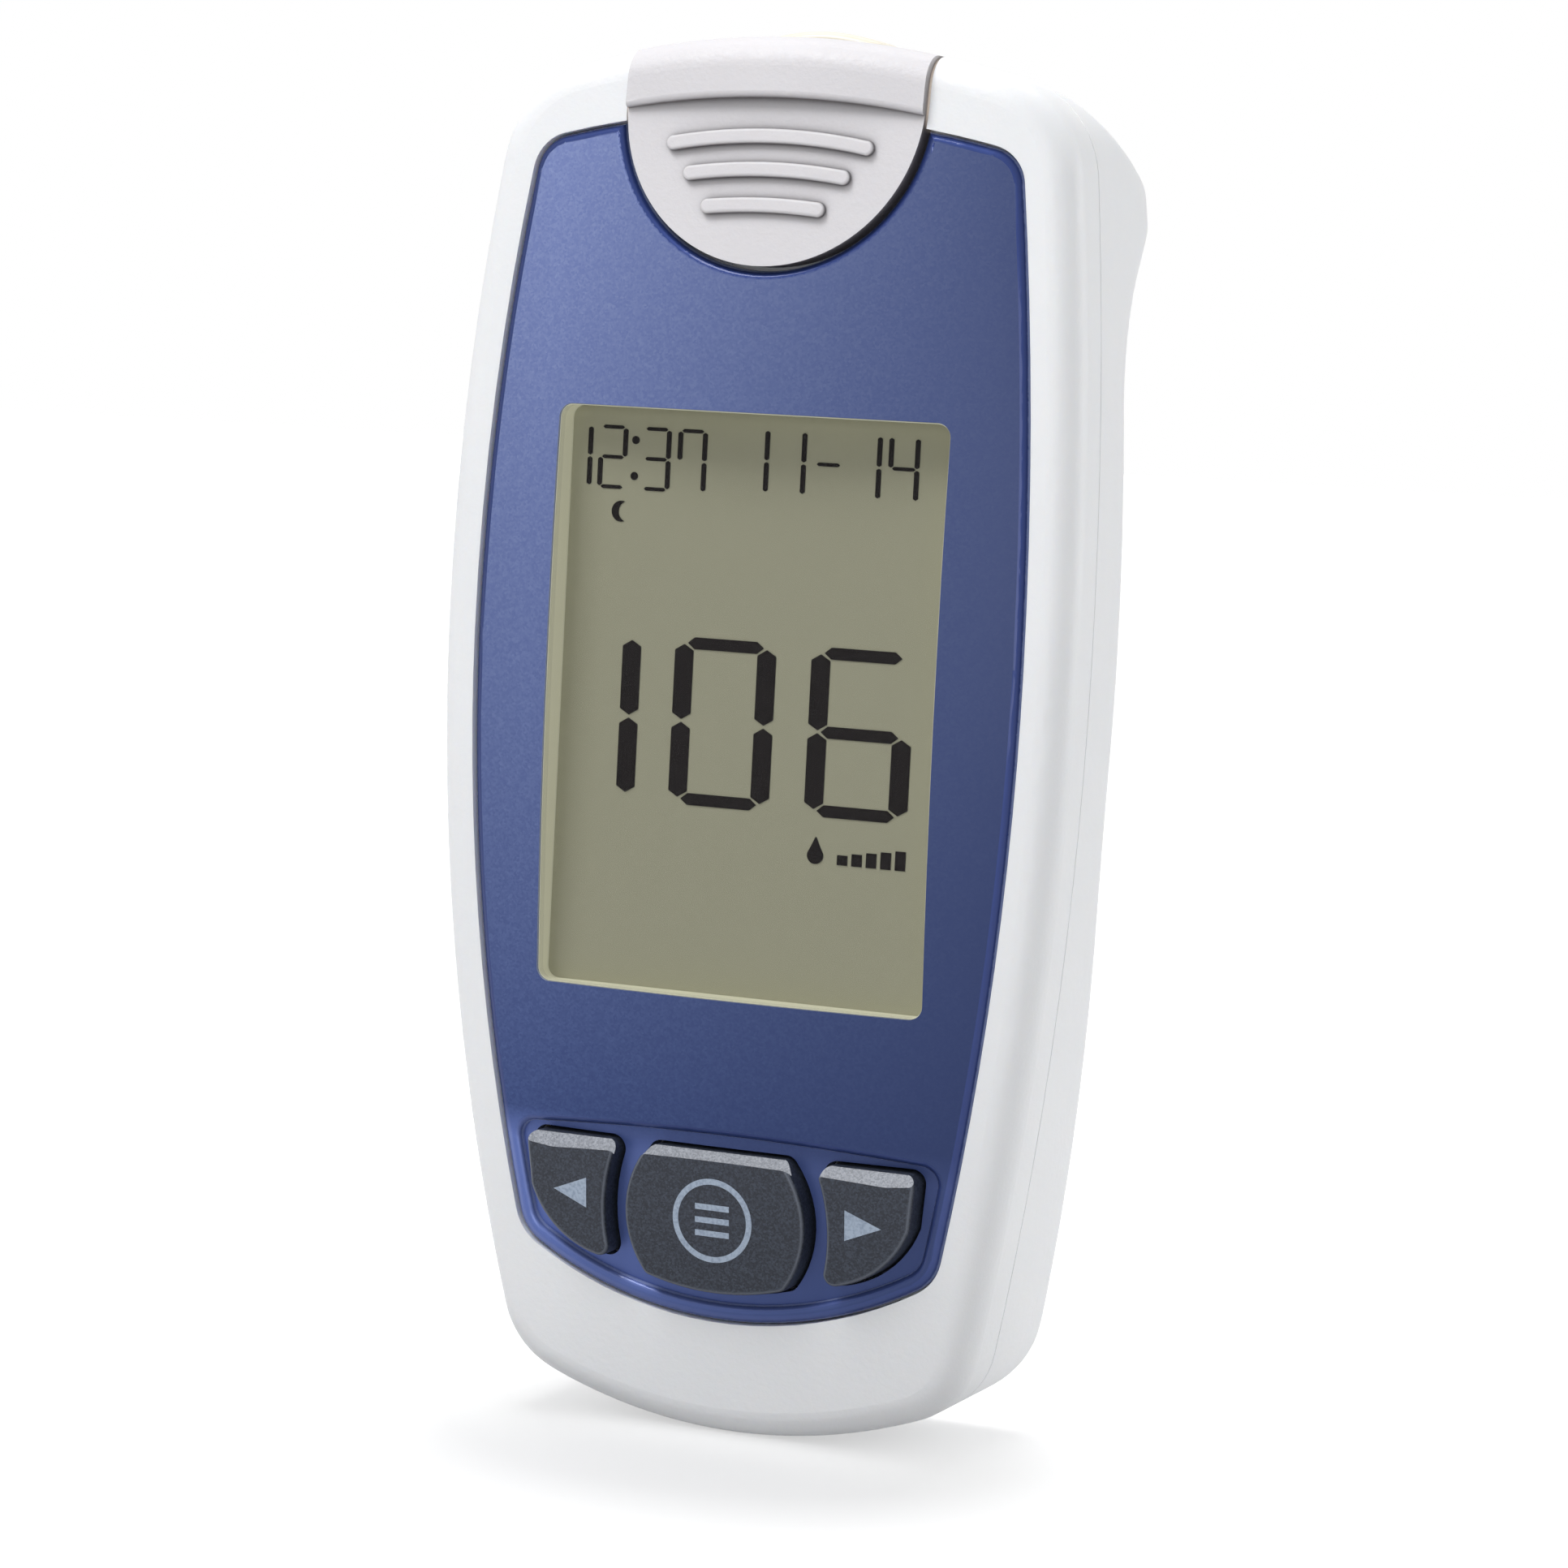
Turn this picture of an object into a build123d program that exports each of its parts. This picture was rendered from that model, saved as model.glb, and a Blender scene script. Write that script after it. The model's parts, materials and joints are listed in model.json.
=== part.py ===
# Hand-held blood glucose meter, built as separate pieces in one frame.
# Millimetres. +Z runs up the length, the face looks toward -Y, +X is the viewer's right.
# The middle of the length axis is x = 0, the lowest point of the body is z = 0.

from build123d import *
import math
import os

os.makedirs("parts", exist_ok=True)

# Overall sizes
body_height = 98.4
body_width = 47.6
body_depth = 21.2
waist_depth = 13.8
hump_depth = 20.2

# Body outline
bottom_corner_radius = 6.5
top_corner_radius = 8.0
front_edge_radius = 2.4
rear_edge_radius = 2.2
wall = 1.8
floor_under_panel = 1.0

# Crown of the face
crown_long = 330.0
crown_cross = 150.0

# Front panel
panel_margin = 3.2
panel_back = 2.5
panel_gap = 0.15
panel_edge_radius = 0.7
key_recess_depth = 0.6
recess_top_z = 21.9

# Display
window_width = 29.4
window_height = 40.9
window_lip = 0.8
window_gap = 0.1
window_corner = 1.0
glass_width = 32.0
glass_height = 46.0
glass_ledge = 1.75

# Keys
key_stand = 1.25
key_travel = 0.5
key_gap = 0.22
key_flange = 0.7
key_z = 16.0
key_back = 7.4

# Strip ejector
ejector_radius = 11.4
ejector_gap = 0.3
ejector_seam = 0.2
ejector_proud = 0.7
ejector_travel = 3.0
ejector_skin = 1.9

# Strip entry
nozzle_width = 10.0
nozzle_thickness = 4.0
nozzle_rise = 0.9
strip_slot_width = 6.2
strip_slot_thickness = 1.0
strip_depth = 11.7

# Parting between the two shells
parting_depth = 6.55
parting_gap = 0.1
lip_height = 1.2

# Circuit board
board_front = 8.9
board_thickness = 1.0

# Coin cell and its door
cell_diameter = 20.0
cell_thickness = 3.2
cell_height_on_body = 22.5
door_margin = 1.8
door_thickness = 1.5
door_gap = 0.2

# Screws
screw_shank = 1.9
screw_hole_gap = 0.05

# Values that follow from the sizes above
half_width = body_width / 2
widest_z = body_height * 0.58
crown_middle = body_height * 0.57
front_y = -body_depth / 2
rear_y = body_depth / 2
waist_y = front_y + waist_depth
hump_y = front_y + hump_depth
crown_axis_y = front_y + crown_long
display_z = body_height * 0.5285
board_rear = board_front + board_thickness
ejector_z = body_height - 4.8
door_width = cell_diameter + 2 * door_margin
glass_half_x = glass_width / 2
glass_half_z = glass_height / 2
rear_glass_half = glass_half_z - glass_ledge
view_half_x = window_width / 2 + window_lip
view_half_z = window_height / 2 + window_lip


def deep(value):
    """Y of a point that lies `value` behind the highest point of the face."""
    return front_y + value


def crossing(centre_a, radius_a, centre_b, radius_b, low):
    """Lower or upper point in which two circles cross."""
    step_x = centre_b[0] - centre_a[0]
    step_z = centre_b[1] - centre_a[1]
    span = math.hypot(step_x, step_z)
    along = (radius_a**2 - radius_b**2 + span**2) / (2 * span)
    across = math.sqrt(radius_a**2 - along**2)
    points = []
    for sign in (-1, 1):
        x = centre_a[0] + (along * step_x - sign * across * step_z) / span
        z = centre_a[1] + (along * step_z + sign * across * step_x) / span
        points.append((x, z))
    points.sort(key=lambda point: point[1])
    return points[0] if low else points[1]


def four_arc_outline(half, widest, low, low_corner, high, high_corner, radii, inset):
    """Outline of a bottom arc, a top arc and two pairs of side arcs, drawn `inset` inside."""
    low_drop = low_corner[1] - low
    low_arc = (low_corner[0] ** 2 + low_drop**2) / (2 * low_drop)
    high_drop = high - high_corner[1]
    high_arc = (high_corner[0] ** 2 + high_drop**2) / (2 * high_drop)
    low_lean = half - low_corner[0]
    low_side = (low_lean**2 + (widest - low_corner[1]) ** 2) / (2 * low_lean)
    high_lean = half - high_corner[0]
    high_side = (high_lean**2 + (high_corner[1] - widest) ** 2) / (2 * high_lean)
    low_point = crossing(
        (0, low + low_arc), low_arc - inset, (half - low_side, widest), low_side - inset, True
    )
    high_point = crossing(
        (0, high - high_arc), high_arc - inset, (half - high_side, widest), high_side - inset, False
    )
    with BuildSketch() as face:
        with BuildLine():
            ThreePointArc((-low_point[0], low_point[1]), (0, low + inset), low_point)
            TangentArc((half - inset, widest), low_point, tangent=(0, -1))
            TangentArc((half - inset, widest), high_point, tangent=(0, 1))
            ThreePointArc(high_point, (0, high - inset), (-high_point[0], high_point[1]))
            TangentArc((inset - half, widest), (-high_point[0], high_point[1]), tangent=(0, 1))
            TangentArc((inset - half, widest), (-low_point[0], low_point[1]), tangent=(0, -1))
        make_face()
        for point, radius in ((low_point, radii[0]), (high_point, radii[1])):
            for sign in (-1, 1):
                corner = face.vertices().sort_by_distance((sign * point[0], point[1], 0))[0]
                fillet(corner, radius=max(radius - inset, 0.4))
    return face.sketch_local


def body_outline(inset):
    """Front view of the body, `inset` inside its edge."""
    return four_arc_outline(
        half_width,
        widest_z,
        0,
        (half_width - 6.3, 4.1),
        body_height,
        (half_width - 2.8, body_height - 3.8),
        (bottom_corner_radius, top_corner_radius),
        inset,
    )


def panel_outline(inset):
    """Front view of the blue panel, `inset` inside its edge (negative: outside)."""
    return four_arc_outline(
        half_width - panel_margin,
        crown_middle,
        8.5,
        (half_width - 7.9, 13.2),
        body_height - 5.4,
        (half_width - 5.8, body_height - 7.7),
        (3.4, 2.8),
        inset,
    )


def moved_in(points, inset):
    """Corners of a closed outline, each moved so that every side shifts `inset` inward."""
    moved = []
    for index, point in enumerate(points):
        before = points[index - 1]
        after = points[(index + 1) % len(points)]
        first = math.atan2(point[1] - before[1], point[0] - before[0])
        second = math.atan2(after[1] - point[1], after[0] - point[0])
        half_turn = (second - first) / 2
        bisector = (first + second) / 2 + math.pi / 2
        reach = inset / math.cos(half_turn)
        moved.append((point[0] + reach * math.cos(bisector), point[1] + reach * math.sin(bisector)))
    return moved


def side_profile(inset):
    """Side view of the body: heel, ramp, waist and hump, `inset` inside the surface."""
    corners = moved_in(
        [
            (front_y - 3, -3),
            (rear_y - 3.8, -3),
            (rear_y, 7.0),
            (rear_y, 9.0),
            (waist_y, 44.0),
            (waist_y, body_height - 19.8),
            (hump_y, body_height - 12.6),
            (hump_y, body_height - 8.4),
            (front_y - 3, body_height + 5.9),
        ],
        inset,
    )
    radii = (0, 0, 5.0 - inset, 5.0 - inset, 60.0 + inset, 14.0 + inset, 2.8 - inset, 2.8 - inset, 0)
    with BuildSketch() as side:
        with BuildLine():
            Polyline(*corners, close=True)
        make_face()
        for corner, radius in zip(corners, radii):
            if radius:
                point = side.vertices().sort_by_distance((corner[0], corner[1], 0))[0]
                fillet(point, radius=radius)
    return side.sketch_local


def ejector_outline(radius):
    """Front view of the thumb slider: a half-round pad that runs on over the top edge."""
    with BuildSketch(Plane.XZ) as face:
        with Locations((0, ejector_z)):
            Circle(radius)
        with Locations((0, ejector_z + 10)):
            Rectangle(2 * radius, 20)
    return face.sketch_local


def window_outline(grow):
    """Front view of the display opening, grown all round by `grow`."""
    with BuildSketch(Plane.XZ) as face:
        with Locations((0, display_z)):
            RectangleRounded(window_width + 2 * grow, window_height + 2 * grow, window_corner + grow)
    return face.sketch_local


def centre_key_outline(grow):
    """Front view of the middle key, grown all round by `grow`."""
    top = (5.1 + 0.7 * grow, 20.8 + grow)
    low = (5.3 + 0.7 * grow, 11.5 - 0.9 * grow)
    with BuildSketch(Plane.XZ) as face:
        with BuildLine():
            Line((-top[0], top[1]), top)
            ThreePointArc(top, (6.86 + grow, 16.3), low)
            ThreePointArc(low, (0, 10.7 - grow), (-low[0], low[1]))
            ThreePointArc((-low[0], low[1]), (-6.86 - grow, 16.3), (-top[0], top[1]))
        make_face()
        fillet(face.vertices(), radius=max(0.7 + grow, 0.3))
    return face.sketch_local


def side_key_outline(grow, side):
    """Front view of an outer key; side is 1 for the right key and -1 for the left."""
    with BuildSketch(Plane.XZ) as face:
        with BuildLine():
            Line((7.5 * side, 20.8), (14.9 * side, 20.8))
            Line((14.9 * side, 20.8), (14.5 * side, 16.9))
            ThreePointArc((14.5 * side, 16.9), (12.3 * side, 13.8), (8.0 * side, 12.2))
            ThreePointArc((8.0 * side, 12.2), (8.45 * side, 17.0), (7.5 * side, 20.8))
        make_face()
        fillet(face.vertices(), radius=0.8)
        if grow:
            offset(amount=grow)
    return face.sketch_local


def prism(face, deep_from, deep_to):
    """Straight column behind a front-view outline between two depths."""
    with BuildPart() as column:
        with BuildSketch(Plane.XZ.offset(-deep(deep_from))):
            add(face)
        extrude(amount=-(deep_to - deep_from))
    return column.part


def crown(depth):
    """Everything that lies more than `depth` under the doubly curved face."""
    reach = crown_long - depth
    tilt = 12.0
    edge = reach - (crown_cross - depth) + math.sqrt((crown_cross - depth) ** 2 - 34.0**2)
    section = Plane(
        origin=(0, crown_axis_y, crown_middle),
        x_dir=(1, 0, 0),
        z_dir=(0, -math.sin(math.radians(tilt)), -math.cos(math.radians(tilt))),
    )
    with BuildPart() as mass:
        with BuildSketch(section):
            with BuildLine():
                ThreePointArc((-34, edge), (0, reach), (34, edge))
                Polyline((34, edge), (34, reach - 45), (-34, reach - 45), (-34, edge))
            make_face()
        revolve(
            axis=Axis((0, crown_axis_y, crown_middle), (1, 0, 0)),
            revolution_arc=2 * tilt,
        )
    return mass.part


def behind_arc(depth):
    """Everything more than `depth` behind the face, curved along the length only."""
    with BuildPart() as drum:
        with Locations((0, crown_axis_y, crown_middle)):
            Cylinder(crown_long - depth, 80, rotation=(0, 90, 0))
    return drum.part


def key_crown(depth):
    """Ball whose skin runs `depth` under the face in the key area (negative: above)."""
    reach = crown_long - crown_cross
    lean = math.asin((crown_middle - key_z) / crown_long)
    centre_y = crown_axis_y - reach * math.cos(lean)
    centre_z = crown_middle - reach * math.sin(lean)
    with BuildPart() as ball:
        with Locations((0, centre_y, centre_z)):
            Sphere(crown_cross - depth)
    return ball.part


def slab(x_from, x_to, deep_from, deep_to, z_from, z_to, mode=Mode.ADD):
    """Box given by its limits."""
    x_middle = (x_from + x_to) / 2
    y_middle = deep((deep_from + deep_to) / 2)
    z_middle = (z_from + z_to) / 2
    with Locations((x_middle, y_middle, z_middle)):
        Box(x_to - x_from, deep_to - deep_from, z_to - z_from, mode=mode)


def post(x, z, radius, deep_from, deep_to, mode=Mode.ADD):
    """Round post that stands along the depth of the meter."""
    with Locations((x, deep((deep_from + deep_to) / 2), z)):
        Cylinder(radius, deep_to - deep_from, rotation=(90, 0, 0), mode=mode)


# Outer form shared by both shells and the slider
with BuildPart() as body_form:
    add(prism(body_outline(0), -2, body_depth + 2))
    with BuildSketch(Plane.YZ):
        add(side_profile(0))
    extrude(amount=half_width + 5, both=True, mode=Mode.INTERSECT)
    add(crown(0), mode=Mode.INTERSECT)
    around = body_form.edges().filter_by(Axis.Y, reverse=True)
    around = around.filter_by(Axis.X, reverse=True)
    front_edges = around.filter_by_position(Axis.Y, front_y, deep(5.7))
    fillet(front_edges, radius=front_edge_radius)
    around = body_form.edges().filter_by(Axis.Y, reverse=True)
    around = around.filter_by(Axis.X, reverse=True)
    rear_edges = around.filter_by_position(Axis.Y, deep(6.6), rear_y + 1)
    fillet(rear_edges, radius=rear_edge_radius)

# Room inside the two shells; a second wall stays under the slider at the top edge
with BuildPart() as inside:
    add(prism(body_outline(wall), -2, body_depth + 2))
    with BuildSketch(Plane.YZ):
        add(side_profile(wall))
    extrude(amount=half_width + 5, both=True, mode=Mode.INTERSECT)
    add(behind_arc(panel_back + 0.1 + floor_under_panel), mode=Mode.INTERSECT)

with BuildPart() as top_liner:
    slab(-13.2, 13.2, 0, 14.0, body_height - 9, body_height + 2)
    add(prism(body_outline(wall + 1.9), -4, 18), mode=Mode.SUBTRACT)

with BuildPart() as hollow:
    add(inside.part)
    add(top_liner.part, mode=Mode.SUBTRACT)

# Space that the slider sweeps, cut out of both shells
with BuildPart() as slider_space:
    add(prism(ejector_outline(ejector_radius - ejector_gap + ejector_seam), -4, 9.6))
    with BuildPart(mode=Mode.PRIVATE) as slider_core:
        add(prism(body_outline(wall + 0.3), -6, 20))
        add(behind_arc(ejector_skin + ejector_gap), mode=Mode.INTERSECT)
    add(slider_core.part, mode=Mode.SUBTRACT)

# Ring in which the two shells overlap like the lid and base of a box
with BuildPart() as lip_ring:
    add(prism(body_outline(wall * 0.55), 0, body_depth))
    add(prism(body_outline(wall), -2, body_depth + 2), mode=Mode.SUBTRACT)
    add(behind_arc(parting_depth - lip_height), mode=Mode.INTERSECT)
    add(behind_arc(parting_depth + 1.0), mode=Mode.SUBTRACT)

with BuildPart() as lip_room:
    add(prism(body_outline(wall * 0.55 - 0.1), 0, body_depth))
    add(prism(body_outline(wall + 0.02), -2, body_depth + 2), mode=Mode.SUBTRACT)
    add(behind_arc(parting_depth - lip_height - 0.2), mode=Mode.INTERSECT)

low_screw_x = half_width - 6.6
high_screw_x = half_width - 6.0
low_screw_z = 24.8
high_screw_z = body_height - 17.9
boss_end = 11.0
screw_web = 1.6
screw_head_radius = 1.9
screw_head_height = 1.5
board_post_x = half_width - 11.3
board_post_z = body_height - 20.0
housing_screw_places = [
    (low_screw_x, low_screw_z),
    (-low_screw_x, low_screw_z),
    (high_screw_x, high_screw_z),
    (-high_screw_x, high_screw_z),
]
slot_low_z = body_height - 11.4
slot_high_z = slot_low_z + ejector_travel
carriage_front = 5.9
carriage_rear = 6.9

# Front shell
with BuildPart() as front_housing:
    add(body_form.part)
    add(behind_arc(parting_depth), mode=Mode.SUBTRACT)
    add(hollow.part, mode=Mode.SUBTRACT)
    add(lip_room.part, mode=Mode.SUBTRACT)
    for x, z in housing_screw_places:
        post(x, z, 2.2, 4.2, boss_end)
    for x in (-board_post_x, board_post_x):
        post(x, board_post_z, 1.8, 3.8, board_front)
    for x in (-12.0, 12.0):
        post(x, 6.4, 1.4, 5.2, board_front)
        slab(x - 1.4, x + 1.4, 7.2, board_front, 6.4, 9.4)
    add(slider_space.part, mode=Mode.SUBTRACT)
    with BuildPart(mode=Mode.PRIVATE) as panel_pocket:
        add(prism(panel_outline(-panel_gap), -4, 10))
        add(behind_arc(panel_back + 0.1), mode=Mode.SUBTRACT)
    add(panel_pocket.part, mode=Mode.SUBTRACT)
    slab(
        -glass_half_x - 1.5,
        glass_half_x + 1.5,
        -2,
        10,
        display_z - glass_half_z - 1.5,
        display_z + glass_half_z + 1.5,
        mode=Mode.SUBTRACT,
    )
    add(prism(centre_key_outline(key_gap), -2, 10), mode=Mode.SUBTRACT)
    add(prism(side_key_outline(key_gap, 1), -2, 10), mode=Mode.SUBTRACT)
    add(prism(side_key_outline(key_gap, -1), -2, 10), mode=Mode.SUBTRACT)
    for x, z in housing_screw_places:
        post(x, z, screw_shank / 2 + screw_hole_gap, 6.2, boss_end + 1, mode=Mode.SUBTRACT)
    for x in (-board_post_x, board_post_x):
        post(x, board_post_z, 0.8, 5.6, board_front + 1, mode=Mode.SUBTRACT)
    with BuildSketch(Plane.XZ.offset(-deep(0))):
        with Locations((0, (slot_low_z + slot_high_z) / 2)):
            SlotOverall(ejector_travel + 5.2, 5.2, rotation=90)
    extrude(amount=-8, mode=Mode.SUBTRACT)
front_housing.part.label = "front_housing"
export_step(front_housing.part, "parts/front_housing.step")

# Plane on the ramp of the back; its Y axis runs down the slope toward the heel
ramp_slope = math.atan2(rear_y - waist_y, 35.0)
ramp_y = rear_y - (cell_height_on_body - 9.0) * math.tan(ramp_slope)
ramp = Plane(
    origin=(0, ramp_y, cell_height_on_body),
    x_dir=(1, 0, 0),
    z_dir=(0, math.cos(ramp_slope), math.sin(ramp_slope)),
)
hinge_y = -cell_diameter / 2 - 2.0
hinge_z = -1.1
hinge_radius = 1.1
pin_radius = 0.8
door_end = cell_diameter / 2 + 3.0
pocket_half = cell_diameter / 2 + 0.9
cell_top = -door_thickness - 0.4
pocket_floor = cell_top - cell_thickness - 0.3
recess_half = door_width / 2 + door_gap


def ramp_box(half_x, y_from, y_to, z_from, z_to, x_middle=0.0, mode=Mode.ADD):
    """Box laid out on the ramp plane."""
    spot = ramp * Pos(x_middle, (y_from + y_to) / 2, (z_from + z_to) / 2)
    with Locations(spot):
        Box(2 * half_x, y_to - y_from, z_to - z_from, mode=mode)


# Rear shell
with BuildPart() as rear_housing:
    add(body_form.part)
    add(behind_arc(parting_depth + parting_gap), mode=Mode.INTERSECT)
    add(hollow.part, mode=Mode.SUBTRACT)
    add(lip_ring.part)
    with BuildPart(mode=Mode.PRIVATE) as cell_block:
        ramp_box(pocket_half + 3.6, hinge_y - 3.0, door_end + 1.6, pocket_floor - 1.0, 1.0)
        slab(-30, 30, board_rear + 0.3, 40, 2, 60, mode=Mode.INTERSECT)
        add(body_form.part, mode=Mode.INTERSECT)
    add(cell_block.part)
    with BuildPart(mode=Mode.PRIVATE) as screw_tubes:
        for x, z in housing_screw_places:
            post(x, z, 3.0, boss_end, body_depth)
        add(body_form.part, mode=Mode.INTERSECT)
    add(screw_tubes.part)
    for x, z in housing_screw_places:
        post(x, z, 2.15, boss_end + screw_web, body_depth + 2, mode=Mode.SUBTRACT)
        post(x, z, 1.1, boss_end - 3, body_depth, mode=Mode.SUBTRACT)
        post(x, z, 2.35, 3.0, boss_end, mode=Mode.SUBTRACT)
    add(slider_space.part, mode=Mode.SUBTRACT)
    slab(
        -nozzle_width / 2 - 0.1,
        nozzle_width / 2 + 0.1,
        strip_depth - nozzle_thickness / 2 - 0.1,
        strip_depth + nozzle_thickness / 2 + 0.1,
        body_height - 10.2,
        body_height + 3,
        mode=Mode.SUBTRACT,
    )
    ramp_box(recess_half, hinge_y, door_end + door_gap, -door_thickness - 0.1, 3, mode=Mode.SUBTRACT)
    with Locations(ramp * Pos(0, hinge_y, hinge_z)):
        Cylinder(hinge_radius + 0.2, 2 * recess_half, rotation=(0, 90, 0), mode=Mode.SUBTRACT)
        Cylinder(pin_radius + 0.05, 2 * recess_half + 2.8, rotation=(0, 90, 0), mode=Mode.SUBTRACT)
    ramp_box(recess_half, hinge_y - 1.4, hinge_y, hinge_z, 3, mode=Mode.SUBTRACT)
    ramp_box(pocket_half, -pocket_half, pocket_half, pocket_floor, 0, mode=Mode.SUBTRACT)
    ramp_box(2.8, door_end - 1.1, door_end + 0.9, -3.6, -door_thickness, mode=Mode.SUBTRACT)
    with Locations(ramp * Pos(0, door_end + 1.6, 2.6)):
        Cylinder(4.0, 12.0, rotation=(0, 90, 0), mode=Mode.SUBTRACT)
rear_housing.part.label = "rear_housing"
export_step(rear_housing.part, "parts/rear_housing.step")

# Blue face plate
with BuildPart() as front_panel:
    add(prism(panel_outline(0), -4, 12))
    add(crown(0), mode=Mode.INTERSECT)
    add(behind_arc(panel_back), mode=Mode.SUBTRACT)
    add(prism(ejector_outline(ejector_radius), -4, 12), mode=Mode.SUBTRACT)
    top_face = front_panel.faces().sort_by(Axis.Y)[0]
    fillet(top_face.edges(), radius=panel_edge_radius)
    with BuildPart(mode=Mode.PRIVATE) as key_recess:
        add(prism(panel_outline(1.3), -4, 8))
        with BuildSketch(Plane.XZ.offset(-deep(-4))):
            with BuildLine():
                ThreePointArc((-24, recess_top_z - 1.6), (0, recess_top_z), (24, recess_top_z - 1.6))
                Polyline(
                    (24, recess_top_z - 1.6), (24, 0), (-24, 0), (-24, recess_top_z - 1.6)
                )
            make_face()
        extrude(amount=-12, mode=Mode.INTERSECT)
        fillet(key_recess.edges().filter_by(Axis.Y), radius=1.2)
        add(key_crown(key_recess_depth), mode=Mode.SUBTRACT)
    add(key_recess.part, mode=Mode.SUBTRACT)
    add(prism(window_outline(0), -2, 10), mode=Mode.SUBTRACT)
    with BuildPart(mode=Mode.PRIVATE) as window_rebate:
        slab(
            -window_width / 2 - window_lip - window_gap,
            window_width / 2 + window_lip + window_gap,
            -2,
            10,
            display_z - window_height / 2 - window_lip - window_gap,
            display_z + window_height / 2 + window_lip + window_gap,
        )
        add(crown(0.7), mode=Mode.INTERSECT)
    add(window_rebate.part, mode=Mode.SUBTRACT)
    slab(
        -glass_width / 2 - 0.4,
        glass_width / 2 + 0.4,
        3.2,
        8,
        display_z - glass_height / 2 - 0.4,
        display_z + glass_height / 2 + 0.4,
        mode=Mode.SUBTRACT,
    )
    add(prism(centre_key_outline(key_gap), -2, 10), mode=Mode.SUBTRACT)
    add(prism(side_key_outline(key_gap, 1), -2, 10), mode=Mode.SUBTRACT)
    add(prism(side_key_outline(key_gap, -1), -2, 10), mode=Mode.SUBTRACT)
    recess_rim = front_panel.edges().sort_by_distance((0, front_y, recess_top_z))[0]
    fillet(recess_rim, radius=0.5)
front_panel.part.label = "front_panel"
export_step(front_panel.part, "parts/front_panel.step")

# Clear window: a flush centre on a flange that is held from behind
with BuildPart() as display_window:
    slab(
        -window_width / 2 - window_lip,
        window_width / 2 + window_lip,
        0,
        3.1,
        display_z - window_height / 2 - window_lip,
        display_z + window_height / 2 + window_lip,
    )
    add(crown(0.8), mode=Mode.INTERSECT)
    with BuildPart(mode=Mode.PRIVATE) as window_centre:
        add(prism(window_outline(-window_gap), -1, 3.1))
        add(crown(0), mode=Mode.INTERSECT)
    add(window_centre.part)
display_window.part.label = "display_window"
export_step(display_window.part, "parts/display_window.step")

# Foam frame between window and display
with BuildPart() as display_gasket:
    foam_x, foam_z = view_half_x - 0.1, view_half_z - 0.15
    slab(-foam_x, foam_x, 3.1, 3.3, display_z - foam_z, display_z + foam_z)
    hole_x, hole_z = window_width / 2 + 0.2, window_height / 2 + 0.2
    slab(-hole_x, hole_x, 3.0, 3.4, display_z - hole_z, display_z + hole_z, mode=Mode.SUBTRACT)
display_gasket.part.label = "display_gasket"
export_step(display_gasket.part, "parts/display_gasket.step")

# Liquid crystal display: polariser, two bonded glass plates, reflector
with BuildPart() as lcd_polariser:
    film_z = view_half_z - 0.05
    slab(-view_half_x, view_half_x, 3.3, 3.4, display_z - film_z, display_z + film_z)
lcd_polariser.part.label = "lcd_polariser"
export_step(lcd_polariser.part, "parts/lcd_polariser.step")

with BuildPart() as lcd_glass:
    slab(
        -glass_width / 2,
        glass_width / 2,
        3.4,
        4.0,
        display_z - glass_height / 2,
        display_z + glass_height / 2,
    )
    slab(
        -glass_width / 2,
        glass_width / 2,
        4.0,
        4.6,
        display_z - rear_glass_half,
        display_z + rear_glass_half,
    )
lcd_glass.part.label = "lcd_glass"
export_step(lcd_glass.part, "parts/lcd_glass.step")

with BuildPart() as lcd_reflector:
    foil_z = rear_glass_half - 0.35
    slab(-view_half_x, view_half_x, 4.6, 4.75, display_z - foil_z, display_z + foil_z)
lcd_reflector.part.label = "lcd_reflector"
export_step(lcd_reflector.part, "parts/lcd_reflector.step")

# Frame that carries the display on the board
frame_half_height = glass_height / 2 + 1.2
zebra_top = glass_height / 2 - 0.1
zebra_low = rear_glass_half + 0.15
with BuildPart() as lcd_frame:
    slab(
        -glass_half_x - 1.2,
        glass_half_x + 1.2,
        4.25,
        board_front,
        display_z - frame_half_height,
        display_z + frame_half_height,
    )
    slab(
        -glass_width / 2 - 0.15,
        glass_width / 2 + 0.15,
        4,
        4.8,
        display_z - rear_glass_half - 0.1,
        display_z + rear_glass_half + 0.1,
        mode=Mode.SUBTRACT,
    )
    open_x, open_z = glass_half_x - 1.0, rear_glass_half - 1.65
    slab(-open_x, open_x, 5.8, 10, display_z - open_z, display_z + open_z, mode=Mode.SUBTRACT)
    for side in (-1, 1):
        middle = side * (zebra_low + zebra_top) / 2
        half = (zebra_top - zebra_low) / 2 + 0.05
        groove_x = glass_half_x - 1.9
        slab(
            -groove_x,
            groove_x,
            4,
            10,
            display_z + middle - half,
            display_z + middle + half,
            mode=Mode.SUBTRACT,
        )
lcd_frame.part.label = "lcd_frame"
export_step(lcd_frame.part, "parts/lcd_frame.step")

# Striped rubber connectors between the glass ledges and the board
with BuildPart() as zebra_strips:
    for side in (-1, 1):
        middle = side * (zebra_low + zebra_top) / 2
        half = (zebra_top - zebra_low) / 2
        strip_x = glass_half_x - 2.0
        slab(-strip_x, strip_x, 4.0, board_front, display_z + middle - half, display_z + middle + half)
zebra_strips.part.label = "zebra_strips"
export_step(zebra_strips.part, "parts/zebra_strips.step")


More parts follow.
